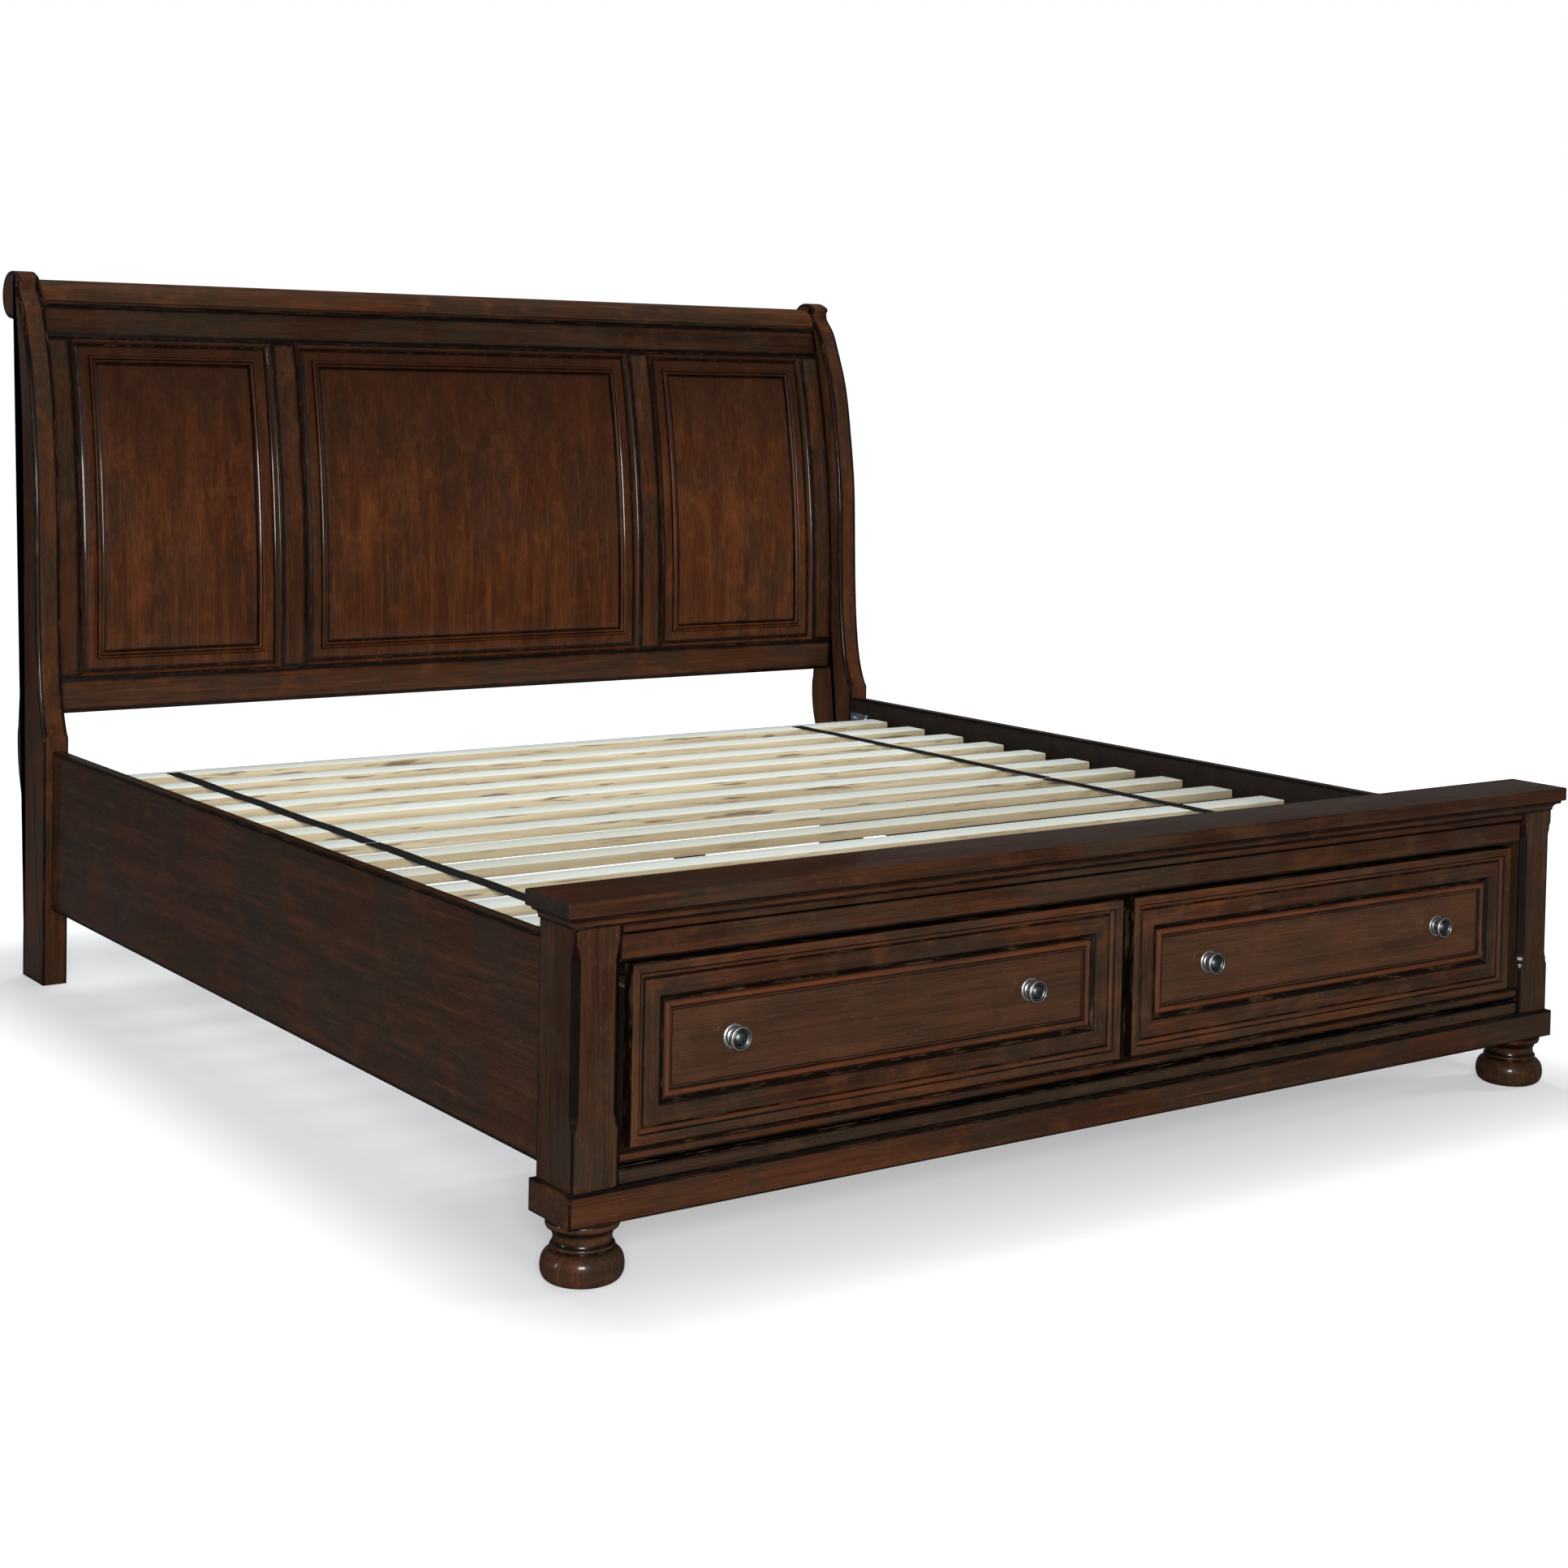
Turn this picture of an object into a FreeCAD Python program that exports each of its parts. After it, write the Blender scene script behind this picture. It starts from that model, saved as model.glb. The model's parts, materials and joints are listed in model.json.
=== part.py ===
"""King-size storage sleigh bed: panelled scroll headboard, deep side rails, a slatted deck,
and a low footboard that holds two drawers and stands on two turned feet.

Frame: X across the bed, +Y from the footboard to the headboard, +Z up, millimetres.
The origin is under the middle of the bed, on the floor. Depths in the sheet are measured
from the front face of the plinth, and `mid_depth` moves them to the origin.
"""
import FreeCAD
import Part

import math
import os
import re

import Sketcher

# ------------------------------------------------------------------ driving dimensions, mm
SIZES = {
    # overall
    "mid_depth": 1213.75,        # plinth front to the middle of the whole bed
    "flush": 0.0,
    "reveal": 0.5,               # clearance of every sliding fit
    # head posts: a straight leg, a swept shaft and a round scroll
    "head_span": 2080.0,         # outside of one head post to outside of the other
    "head_post_thick": 50.0,
    "head_post_front": 2151.0,
    "head_leg_deep": 123.0,
    "head_leg_tall": 509.0,
    "scroll_depth": 2388.0,      # centre of the scroll
    "scroll_tall": 1416.0,
    "scroll_radius": 50.0,
    # headboard boards: upright below curve_low, then leaning back on one large arc
    "board_front": 2240.0,
    "board_thick": 26.0,
    "curve_low": 700.0,
    "curve_radius": 2500.0,
    "head_field_low": 546.0,
    "panel_low": 618.0,
    "panel_high": 1330.0,
    "groove_high": 1396.0,
    "end_stile_wide": 56.0,
    "mid_stile_centre": 457.0,
    "mid_stile_wide": 58.0,
    "panel_recess": 7.0,
    "panel_thick": 12.0,
    "roll_depth": 2388.0,
    "roll_tall": 1402.0,
    "roll_radius": 48.0,
    "rebate_back": 126.0,        # board face to the upright side of the roll's rebate
    # footboard
    "cap_wide": 2102.0,
    "cap_front": -10.5,
    "cap_deep": 127.5,
    "cap_low": 525.0,
    "cap_thick": 24.0,
    "cap_ease": 3.0,
    "cove_low": 507.0,
    "cove_lip": 4.0,
    "cove_reach": 11.0,
    "cove_flat": 1.5,            # flat left on each side of the hollow
    "cove_side": 1.0,            # board stands this far proud of the posts
    "cove_rear": 4.0,
    "foot_span": 2062.0,
    "foot_post_wide": 76.0,
    "foot_post_front": 8.0,
    "foot_post_deep": 100.0,
    "stop_low": 222.0,
    "stop_high": 484.0,
    "stop_chamfer": 7.0,
    "top_rail_low": 453.0,
    "top_rail_front": 14.0,
    "rail_board_thick": 20.0,
    "bead_low": 493.0,
    "bead_reach": 4.0,
    "bead_flat": 0.5,
    "back_rail_low": 412.0,
    "back_rail_thick": 18.0,
    "bottom_rail_low": 167.0,
    "bottom_rail_thick": 17.0,
    "bottom_rail_front": 12.0,
    "strip_tall": 24.0,
    "strip_recess": 8.0,
    # plinth and turned feet
    "plinth_wide": 2076.0,
    "plinth_low": 89.0,
    "plinth_tall": 47.0,
    "plinth_thick": 20.0,
    "plinth_deep": 116.0,
    "block_wide": 88.0,
    "foot_centre": 986.0,
    "foot_depth": 52.0,
    "foot_bolt_long": 60.0,
    "foot_bolt_low": 59.0,
    # drawer bay under the foot of the bed
    "divider_thick": 19.0,
    "divider_front": 42.0,
    "bay_back": 558.0,
    "bay_board": 18.0,
    "bay_high": 380.0,
    # drawers
    "front_gap": 23.0,
    "front_face": 16.0,
    "front_thick": 22.0,
    "front_low": 185.0,
    "front_high": 445.0,
    "rim_flat": 1.5,
    "rim_slope_wide": 21.0,
    "rim_slope_deep": 7.0,
    "frame_wide": 60.0,
    "ogee_wide": 14.0,
    "ogee_deep": 6.0,
    "box_low": 196.0,
    "box_tall": 212.0,
    "box_deep": 430.0,
    "box_board": 12.0,
    "box_bottom_up": 8.0,
    "box_bottom_thick": 6.0,
    "runner_low": 262.0,
    "runner_tall": 45.0,
    "runner_thick": 12.2,
    "runner_front": 80.0,
    "runner_long": 420.0,
    "runner_short": 40.0,        # the moving member is this much shorter
    "runner_step": 4.0,          # and narrower by this on both edges
    "knob_offset": 279.0,        # knob to the middle of its drawer
    "knob_tall": 318.0,
    "knob_back": 30.0,           # face of the sunk drawer panel
    # side rails and the deck
    "rail_span": 2046.0,
    "rail_thick": 25.0,
    "rail_low": 155.0,
    "rail_tall": 325.0,
    "cleat_wide": 40.0,
    "cleat_tall": 30.0,
    "cleat_clear": 8.0,          # gap between the cleat and a hook plate
    "slat_low": 423.0,
    "slat_thick": 17.0,
    "slat_deep": 64.0,
    "slat_long": 1956.0,
    "slat_pitch": 149.2,
    "slat_first": 187.6,         # front edge of the slat nearest the footboard
    "strap_wide": 28.0,
    "strap_thick": 1.6,
    "strap_left": -820.0,
    "strap_right": 734.0,
    # steel fittings
    "plate_thick": 4.0,
    "plate_deep": 64.0,
    "plate_low": 200.0,
    "plate_tall": 244.0,
    "tab_deep": 14.0,
    "tab_tall": 34.0,
    "tab_low": 30.0,             # lower tab above the bottom of its plate
    "tab_pitch": 150.0,
    "gusset_thick": 3.0,
    "gusset_back": 91.0,         # head post to the gusset's long corner
    "gusset_long": 134.0,
    "gusset_low": 225.0,
    "bolt_radius": 4.0,
    "bolt_head_radius": 7.5,
    "bolt_head_thick": 4.0,
    "bolt_long": 20.0,
    "bolt_side": 10.0,           # bolt to the upright edge of its plate
    "bolt_end": 12.0,            # bolt to the end of its plate
    "leg_side": 42.0,
    "leg_centre": 330.0,
}

HEAD_ROLL_SLATS = range(6, 13)   # slats counted from the footboard: the roll at the head
FOOT_ROLL_SLATS = range(0, 6)
LEG_SLAT = 4                     # the two taller legs stand under this slat
NEAR = 0.01                      # edges this close to a plane lie on it

doc = FreeCAD.newDocument("SleighBed")
sheet = doc.addObject("Spreadsheet::Sheet", "Sizes")
for row, (alias, value) in enumerate(SIZES.items(), start=1):
    sheet.set("A%d" % row, alias)
    sheet.set("B%d" % row, str(value))
    sheet.setAlias("B%d" % row, alias)
doc.recompute()

nodes = []                       # every object that becomes one file


# ------------------------------------------------------------------ helpers
def linked(formula):
    """The formula with each size name turned into its cell of the sheet."""
    return re.sub(r"[a-z_]+", lambda word: "Sizes." + word.group(0)
                  if word.group(0) in SIZES else word.group(0), str(formula))


def bind(item, prop, formula):
    item.setExpression(prop, linked(formula))


def place(item, x, y, z):
    """Put an item at x, y, z, with y given from the front face of the plinth."""
    bind(item, "Placement.Base.x", x)
    bind(item, "Placement.Base.y", "(%s) - mid_depth" % y)
    bind(item, "Placement.Base.z", z)


def keep(item, label):
    """Register an item as a sub-part of its own."""
    item.Label = label
    nodes.append(item)
    return item


def new_body(name):
    return doc.addObject("PartDesign::Body", name)


def origin_plane(body, role):
    return [item for item in body.Origin.OriginFeatures if item.Role == role][0]


def new_sketch(body, role, name):
    sketch = body.newObject("Sketcher::SketchObject", name)
    sketch.AttachmentSupport = [(origin_plane(body, role), "")]
    sketch.MapMode = "FlatFace"
    return sketch


def point(x, y):
    return FreeCAD.Vector(x, y, 0)


def dimension(sketch, kind, formula, *places):
    """Add one driving dimension and bind it to the sheet."""
    index = sketch.addConstraint(Sketcher.Constraint(kind, *places))
    bind(sketch, "Constraints[%d]" % index, formula)
    return index


def rectangle(sketch, left, low, wide, tall):
    """A rectangle with its low left corner at left, low."""
    corners = [point(1, 1), point(11, 1), point(11, 9), point(1, 9)]
    first = sketch.GeometryCount
    for step in range(4):
        sketch.addGeometry(Part.LineSegment(corners[step], corners[(step + 1) % 4]), False)
    for step in range(4):
        sketch.addConstraint(
            Sketcher.Constraint("Coincident", first + step, 2, first + (step + 1) % 4, 1))
    sketch.addConstraint(Sketcher.Constraint("Horizontal", first))
    sketch.addConstraint(Sketcher.Constraint("Horizontal", first + 2))
    sketch.addConstraint(Sketcher.Constraint("Vertical", first + 1))
    sketch.addConstraint(Sketcher.Constraint("Vertical", first + 3))
    dimension(sketch, "DistanceX", wide, first, 1, first, 2, 10.0)
    dimension(sketch, "DistanceY", tall, first + 1, 1, first + 1, 2, 8.0)
    dimension(sketch, "DistanceX", left, -1, 1, first, 1, 1.0)
    dimension(sketch, "DistanceY", low, -1, 1, first, 1, 1.0)


def outline(sketch, corners):
    """A closed outline of straight lines; each corner is a pair of formulas and a rough place."""
    count = len(corners)
    for step in range(count):
        start = corners[step][2]
        end = corners[(step + 1) % count][2]
        sketch.addGeometry(Part.LineSegment(point(*start), point(*end)), False)
    for step in range(count):
        sketch.addConstraint(
            Sketcher.Constraint("Coincident", step, 2, (step + 1) % count, 1))
    for step, (across, up, rough) in enumerate(corners):
        dimension(sketch, "DistanceX", across, -1, 1, step, 1, rough[0])
        dimension(sketch, "DistanceY", up, -1, 1, step, 1, rough[1])


def pad(body, sketch, length, backwards=False):
    feature = body.newObject("PartDesign::Pad", sketch.Name + "Pad")
    feature.Profile = sketch
    feature.Reversed = backwards
    bind(feature, "Length", length)
    sketch.Visibility = False
    return feature


def pocket(body, sketch, length, backwards=False):
    feature = body.newObject("PartDesign::Pocket", sketch.Name + "Pocket")
    feature.Profile = sketch
    feature.Reversed = backwards
    bind(feature, "Length", length)
    return feature


def board(name, x, y, z, wide, deep, tall, label=None):
    """A plain rectangular board, its low front left corner at x, y, z."""
    body = new_body(name)
    sketch = new_sketch(body, "XY_Plane", name + "Outline")
    rectangle(sketch, "0", "0", wide, deep)
    pad(body, sketch, tall)
    place(body, x, y, z)
    return keep(body, label or name)


def edges_where(shape, test):
    return ["Edge%d" % (number + 1) for number, edge in enumerate(shape.Edges) if test(edge)]


def round_edges(body, radius, test, kind="PartDesign::Fillet", size_name="Radius"):
    """Fillet or chamfer the edges of the body's last feature that pass the test."""
    doc.recompute()
    last = body.Tip
    names = edges_where(last.Shape, test)
    if not names:
        raise RuntimeError("no edge to ease on " + body.Name)
    feature = body.newObject(kind, body.Name + "Ease%d" % len(body.Group))
    feature.Base = (last, names)
    bind(feature, size_name, radius)
    return feature


def box(x, y, z, wide, deep, tall, name):
    """A box primitive, for the members of a group of like pieces."""
    item = doc.addObject("Part::Box", name)
    bind(item, "Length", wide)
    bind(item, "Width", deep)
    bind(item, "Height", tall)
    place(item, x, y, z)
    return item


def group(label, members):
    """Like pieces kept as separate solids in one sub-part."""
    compound = doc.addObject("Part::Compound", label)
    compound.Links = members
    return keep(compound, label)


def mirrored_x(side, inner, outer):
    """Low x of a piece that lies between two distances from the middle, on one side."""
    return "-(%s)" % outer if side == "left" else inner


# ------------------------------------------------------------------ headboard
def head_post(side):
    """Leg, swept shaft and scroll, sawn from one thick plank."""
    body = new_body("head_post_" + side)
    sketch = new_sketch(body, "YZ_Plane", "HeadPost%sOutline" % side.title())
    front = SIZES["head_post_front"]
    rear = front + SIZES["head_leg_deep"]
    leg_top = SIZES["head_leg_tall"]
    centre = point(SIZES["scroll_depth"], SIZES["scroll_tall"])
    radius = SIZES["scroll_radius"]

    def on_scroll(degrees):
        angle = math.radians(degrees)
        return centre + point(radius * math.cos(angle), radius * math.sin(angle))

    leave, under = 108, 262      # where the shaft's front meets the scroll, and its rear
    front_sweep = [point(front, leg_top), point(front + 24, 560), point(front + 38, 620),
                   point(front + 52, 750), point(front + 59, 890), point(front + 67, 1020),
                   point(front + 87, 1146), point(front + 117, 1274), point(front + 154, 1361),
                   point(front + 179, 1404), point(front + 203, 1440), on_scroll(leave)]
    rear_sweep = [point(front + 206, 1357), point(front + 185, 1273),
                  point(front + 161, 1110), point(front + 152, 948), point(front + 151, 796),
                  point(front + 157, 609), point(front + 168, 492), point(front + 161, 430),
                  point(front + 139, 366), point(rear, 310)]
    front_curve = Part.BSplineCurve()
    slant = math.radians(leave - 90)
    front_curve.interpolate(Points=front_sweep, InitialTangent=point(0.55, 0.85),
                            FinalTangent=point(math.cos(slant), math.sin(slant)))
    rear_curve = Part.BSplineCurve()
    rear_curve.interpolate(rear_sweep)
    scroll = Part.ArcOfCircle(Part.Circle(centre, FreeCAD.Vector(0, 0, 1), radius),
                              math.radians(under - 360), math.radians(leave))
    sketch.addGeometry(Part.LineSegment(point(rear, 0), point(front, 0)), False)
    sketch.addGeometry(Part.LineSegment(point(front, 0), point(front, leg_top)), False)
    sketch.addGeometry(front_curve, False)
    sketch.addGeometry(scroll, False)
    sketch.addGeometry(Part.LineSegment(on_scroll(under), rear_sweep[0]), False)
    sketch.addGeometry(rear_curve, False)
    sketch.addGeometry(Part.LineSegment(rear_sweep[-1], point(rear, 0)), False)
    pad(body, sketch, "head_post_thick")
    place(body, mirrored_x(side, "head_span / 2 - head_post_thick", "head_span / 2"), "0", "0")
    keep(body, "head_post_" + side)


def curved_sketch(body, name, low, high, setback, thick):
    """Side outline of a headboard board: upright below curve_low, an arc above it."""
    sketch = new_sketch(body, "YZ_Plane", name + "Outline")
    centre = point(SIZES["board_front"] + SIZES["curve_radius"], SIZES["curve_low"])
    turn = FreeCAD.Vector(0, 0, 1)
    radii = (SIZES["curve_radius"] - SIZES[setback], SIZES["curve_radius"] - SIZES[setback]
             - SIZES[thick])
    rise = SIZES[high] - SIZES["curve_low"]
    upright = SIZES[low] < SIZES["curve_low"]
    fall = 0.0 if upright else SIZES[low] - SIZES["curve_low"]
    for radius in radii:
        start = math.pi - math.asin(rise / radius)
        end = math.pi - math.asin(fall / radius)
        sketch.addGeometry(Part.ArcOfCircle(Part.Circle(centre, turn, radius), start, end), False)
    front_top, front_low = sketch.getPoint(0, 1), sketch.getPoint(0, 2)
    rear_top, rear_low = sketch.getPoint(1, 1), sketch.getPoint(1, 2)
    sketch.addGeometry(Part.LineSegment(front_top, rear_top), False)
    if upright:
        foot_front = point(front_low.x, SIZES[low])
        foot_rear = point(rear_low.x, SIZES[low])
        sketch.addGeometry(Part.LineSegment(front_low, foot_front), False)
        sketch.addGeometry(Part.LineSegment(rear_low, foot_rear), False)
        sketch.addGeometry(Part.LineSegment(foot_front, foot_rear), False)
        joins = [(0, 1, 2, 1), (1, 1, 2, 2), (0, 2, 3, 1), (1, 2, 4, 1), (3, 2, 5, 1),
                 (4, 2, 5, 2)]
        straight = [("Horizontal", 2), ("Vertical", 3), ("Vertical", 4), ("Horizontal", 5)]
        foot = 5
    else:
        sketch.addGeometry(Part.LineSegment(front_low, rear_low), False)
        joins = [(0, 1, 2, 1), (1, 1, 2, 2), (0, 2, 3, 1), (1, 2, 3, 2)]
        straight = [("Horizontal", 2), ("Horizontal", 3)]
        foot = 3
    for join in joins:
        sketch.addConstraint(Sketcher.Constraint("Coincident", *join))
    for kind, line in straight:
        sketch.addConstraint(Sketcher.Constraint(kind, line))
    sketch.addConstraint(Sketcher.Constraint("Coincident", 0, 3, 1, 3))
    if upright:
        sketch.addConstraint(Sketcher.Constraint("Horizontal", 0, 2, 0, 3))
        sketch.addConstraint(Sketcher.Constraint("Horizontal", 1, 2, 1, 3))
    dimension(sketch, "DistanceX", "board_front + curve_radius", -1, 1, 0, 3, centre.x)
    dimension(sketch, "DistanceY", "curve_low", -1, 1, 0, 3, centre.y)
    dimension(sketch, "Radius", "curve_radius - %s" % setback, 0, radii[0])
    dimension(sketch, "Radius", "curve_radius - %s - %s" % (setback, thick), 1, radii[1])
    dimension(sketch, "DistanceY", high, -1, 1, 2, 1, SIZES[high])
    dimension(sketch, "DistanceY", low, -1, 1, foot, 1, SIZES[low])
    return sketch


def curved_board(name, x, wide, low, high, setback, thick):
    body = new_body(name)
    sketch = curved_sketch(body, name, low, high, setback, thick)
    pad(body, sketch, wide)
    place(body, x, "0", "0")
    keep(body, name)


def roll_rail():
    """Round rail along the top, rebated to sit over the front edge of the top rail."""
    body = new_body("headboard_roll")
    sketch = new_sketch(body, "YZ_Plane", "RollOutline")
    centre = point(SIZES["roll_depth"], SIZES["roll_tall"])
    radius = SIZES["roll_radius"]
    shelf = SIZES["groove_high"]
    rebate = SIZES["board_front"] + SIZES["rebate_back"]
    drop = math.sqrt(radius ** 2 - (centre.x - rebate) ** 2)
    lean = math.sqrt(radius ** 2 - (shelf - centre.y) ** 2)
    low_end = point(rebate, centre.y - drop)
    front_end = point(centre.x - lean, shelf)
    start = math.atan2(low_end.y - centre.y, low_end.x - centre.x)
    end = math.atan2(front_end.y - centre.y, front_end.x - centre.x) + 2 * math.pi
    sketch.addGeometry(Part.ArcOfCircle(
        Part.Circle(centre, FreeCAD.Vector(0, 0, 1), radius), start, end), False)
    sketch.addGeometry(Part.LineSegment(front_end, point(rebate, shelf)), False)
    sketch.addGeometry(Part.LineSegment(point(rebate, shelf), low_end), False)
    for join in ((0, 2, 1, 1), (1, 2, 2, 1), (2, 2, 0, 1)):
        sketch.addConstraint(Sketcher.Constraint("Coincident", *join))
    sketch.addConstraint(Sketcher.Constraint("Horizontal", 1))
    sketch.addConstraint(Sketcher.Constraint("Vertical", 2))
    dimension(sketch, "DistanceX", "roll_depth", -1, 1, 0, 3, centre.x)
    dimension(sketch, "DistanceY", "roll_tall", -1, 1, 0, 3, centre.y)
    dimension(sketch, "Radius", "roll_radius", 0, radius)
    dimension(sketch, "DistanceY", "groove_high", -1, 1, 1, 1, shelf)
    dimension(sketch, "DistanceX", "board_front + rebate_back", -1, 1, 1, 2, rebate)
    pad(body, sketch, "head_span - 2 * head_post_thick")
    place(body, "head_post_thick - head_span / 2", "0", "0")
    keep(body, "headboard_roll")


def headboard():
    for side in ("left", "right"):
        head_post(side)
    roll_rail()
    inner = "head_span / 2 - head_post_thick"
    curved_board("headboard_top_rail", "-(%s)" % inner, "2 * (%s)" % inner,
                 "panel_high", "groove_high", "flush", "board_thick")
    board("headboard_bottom_rail", "-(%s)" % inner, "board_front", "head_field_low",
          "2 * (%s)" % inner, "board_thick", "panel_low - head_field_low")
    for side in ("left", "right"):
        curved_board("headboard_end_stile_" + side,
                     mirrored_x(side, "%s - end_stile_wide" % inner, inner),
                     "end_stile_wide", "panel_low", "panel_high", "flush", "board_thick")
        curved_board("headboard_mid_stile_" + side,
                     mirrored_x(side, "mid_stile_centre - mid_stile_wide / 2",
                                "mid_stile_centre + mid_stile_wide / 2"),
                     "mid_stile_wide", "panel_low", "panel_high", "flush", "board_thick")
        edge_in = "mid_stile_centre + mid_stile_wide / 2"
        edge_out = "%s - end_stile_wide" % inner
        curved_board("headboard_panel_" + side, mirrored_x(side, edge_in, edge_out),
                     "(%s) - (%s)" % (edge_out, edge_in), "panel_low", "panel_high",
                     "panel_recess", "panel_thick")
    curved_board("headboard_panel_centre", "mid_stile_wide / 2 - mid_stile_centre",
                 "2 * mid_stile_centre - mid_stile_wide", "panel_low", "panel_high",
                 "panel_recess", "panel_thick")


# ------------------------------------------------------------------ footboard
def foot_post(side):
    """Square post with stopped chamfers on both front corners."""
    name = "foot_post_" + side
    body = new_body(name)
    sketch = new_sketch(body, "XY_Plane", "FootPost%sSection" % side.title())
    rectangle(sketch, "0", "0", "foot_post_wide", "foot_post_deep")
    pad(body, sketch, "cove_low - plinth_low - plinth_tall")
    doc.recompute()
    whole = body.Shape.Volume
    for number, corner in enumerate(("0", "foot_post_wide")):
        cut = new_sketch(body, "XY_Plane", "FootPost%sChamfer%d" % (side.title(), number))
        bind(cut, "AttachmentOffset.Base.z", "stop_low - plinth_low - plinth_tall")
        away = "+" if number == 0 else "-"
        near = SIZES["foot_post_wide"] * number
        step = SIZES["stop_chamfer"] * (1 - 2 * number)
        outline(cut, [(corner, "0", (near, 0.01)),
                      ("%s %s stop_chamfer" % (corner, away), "0", (near + step, 0.01)),
                      (corner, "stop_chamfer", (near, abs(step)))])
        pocket(body, cut, "stop_high - stop_low", backwards=True)
    doc.recompute()
    if body.Shape.Volume >= whole - 1:
        raise RuntimeError("the chamfers of %s cut nothing" % name)
    place(body, mirrored_x(side, "foot_span / 2 - foot_post_wide", "foot_span / 2"),
          "foot_post_front", "plinth_low + plinth_tall")
    keep(body, name)


def cap():
    """Flat slab on top of the footboard, its edges eased all round."""
    body = new_body("footboard_cap")
    sketch = new_sketch(body, "XY_Plane", "CapOutline")
    rectangle(sketch, "0", "0", "cap_wide", "cap_deep")
    pad(body, sketch, "cap_thick")
    round_edges(body, "cap_ease", lambda edge: True)
    place(body, "-cap_wide / 2", "cap_front", "cap_low")
    keep(body, "footboard_cap")


def cove_board():
    """Board under the cap: a square lip with a hollow moulding below it, round three sides."""
    body = new_body("footboard_cove_board")
    sketch = new_sketch(body, "XY_Plane", "CoveBoardOutline")
    core_deep = "foot_post_deep + cove_rear"
    core_wide = "foot_span + 2 * cove_side"
    rectangle(sketch, "0", "0", core_wide, core_deep)
    pad(body, sketch, "cap_low - cove_low")
    lip = new_sketch(body, "XY_Plane", "CoveLipOutline")
    bind(lip, "AttachmentOffset.Base.z", "cap_low - cove_low - cove_lip")
    rectangle(lip, "-cove_reach", "-cove_reach", "%s + 2 * cove_reach" % core_wide,
              "%s + cove_reach" % core_deep)
    pad(body, lip, "cove_lip")
    lip_low = SIZES["cap_low"] - SIZES["cove_low"] - SIZES["cove_lip"]
    rear = SIZES["foot_post_deep"] + SIZES["cove_rear"]
    wide = SIZES["foot_span"] + 2 * SIZES["cove_side"]

    def in_corner(edge):
        middle = edge.BoundBox.Center
        level = edge.BoundBox.ZLength < NEAR and abs(middle.z - lip_low) < NEAR
        return level and -NEAR < middle.x < wide + NEAR and -NEAR < middle.y < rear - NEAR

    round_edges(body, "cove_reach - cove_flat", in_corner)
    place(body, "-foot_span / 2 - cove_side", "foot_post_front - cove_side", "cove_low")
    keep(body, "footboard_cove_board")


def top_rail():
    """Rail over the drawers, with a half-round bead along its top."""
    body = new_body("footboard_top_rail")
    span = "foot_span - 2 * foot_post_wide"
    sketch = new_sketch(body, "XY_Plane", "TopRailOutline")
    rectangle(sketch, "0", "0", span, "rail_board_thick")
    pad(body, sketch, "cove_low - top_rail_low")
    bead = new_sketch(body, "XY_Plane", "TopRailBeadOutline")
    bind(bead, "AttachmentOffset.Base.z", "bead_low - top_rail_low")
    rectangle(bead, "0", "-bead_reach", span, "bead_reach + 1")
    pad(body, bead, "cove_low - bead_low")
    bead_low = SIZES["bead_low"] - SIZES["top_rail_low"]

    def bead_edge(edge):
        middle = edge.BoundBox.Center
        lengthwise = edge.BoundBox.YLength < NEAR and edge.BoundBox.ZLength < NEAR
        return (lengthwise and middle.y < NEAR - SIZES["bead_reach"]
                and abs(middle.z - bead_low) < NEAR)

    round_edges(body, "bead_reach - bead_flat", bead_edge)
    place(body, "foot_post_wide - foot_span / 2", "top_rail_front", "top_rail_low")
    keep(body, "footboard_top_rail")


def stepped_strip():
    """Moulding between the plinth and the bottom rail, with a recess along its top."""
    body = new_body("footboard_strip")
    sketch = new_sketch(body, "YZ_Plane", "StripSection")
    tall = SIZES["bottom_rail_low"] - SIZES["plinth_low"] - SIZES["plinth_tall"]
    gap = "bottom_rail_low - plinth_low - plinth_tall"
    outline(sketch, [("0", "0", (0.01, 0.01)),
                     ("rail_board_thick", "0", (20, 0.01)),
                     ("rail_board_thick", gap, (20, tall)),
                     ("strip_recess", gap, (8, tall)),
                     ("strip_recess", "strip_tall", (8, 24)),
                     ("0", "strip_tall", (0.01, 24))])
    pad(body, sketch, "foot_span - 2 * foot_post_wide")
    place(body, "foot_post_wide - foot_span / 2", "bottom_rail_front", "plinth_low + plinth_tall")
    keep(body, "footboard_strip")


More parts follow.
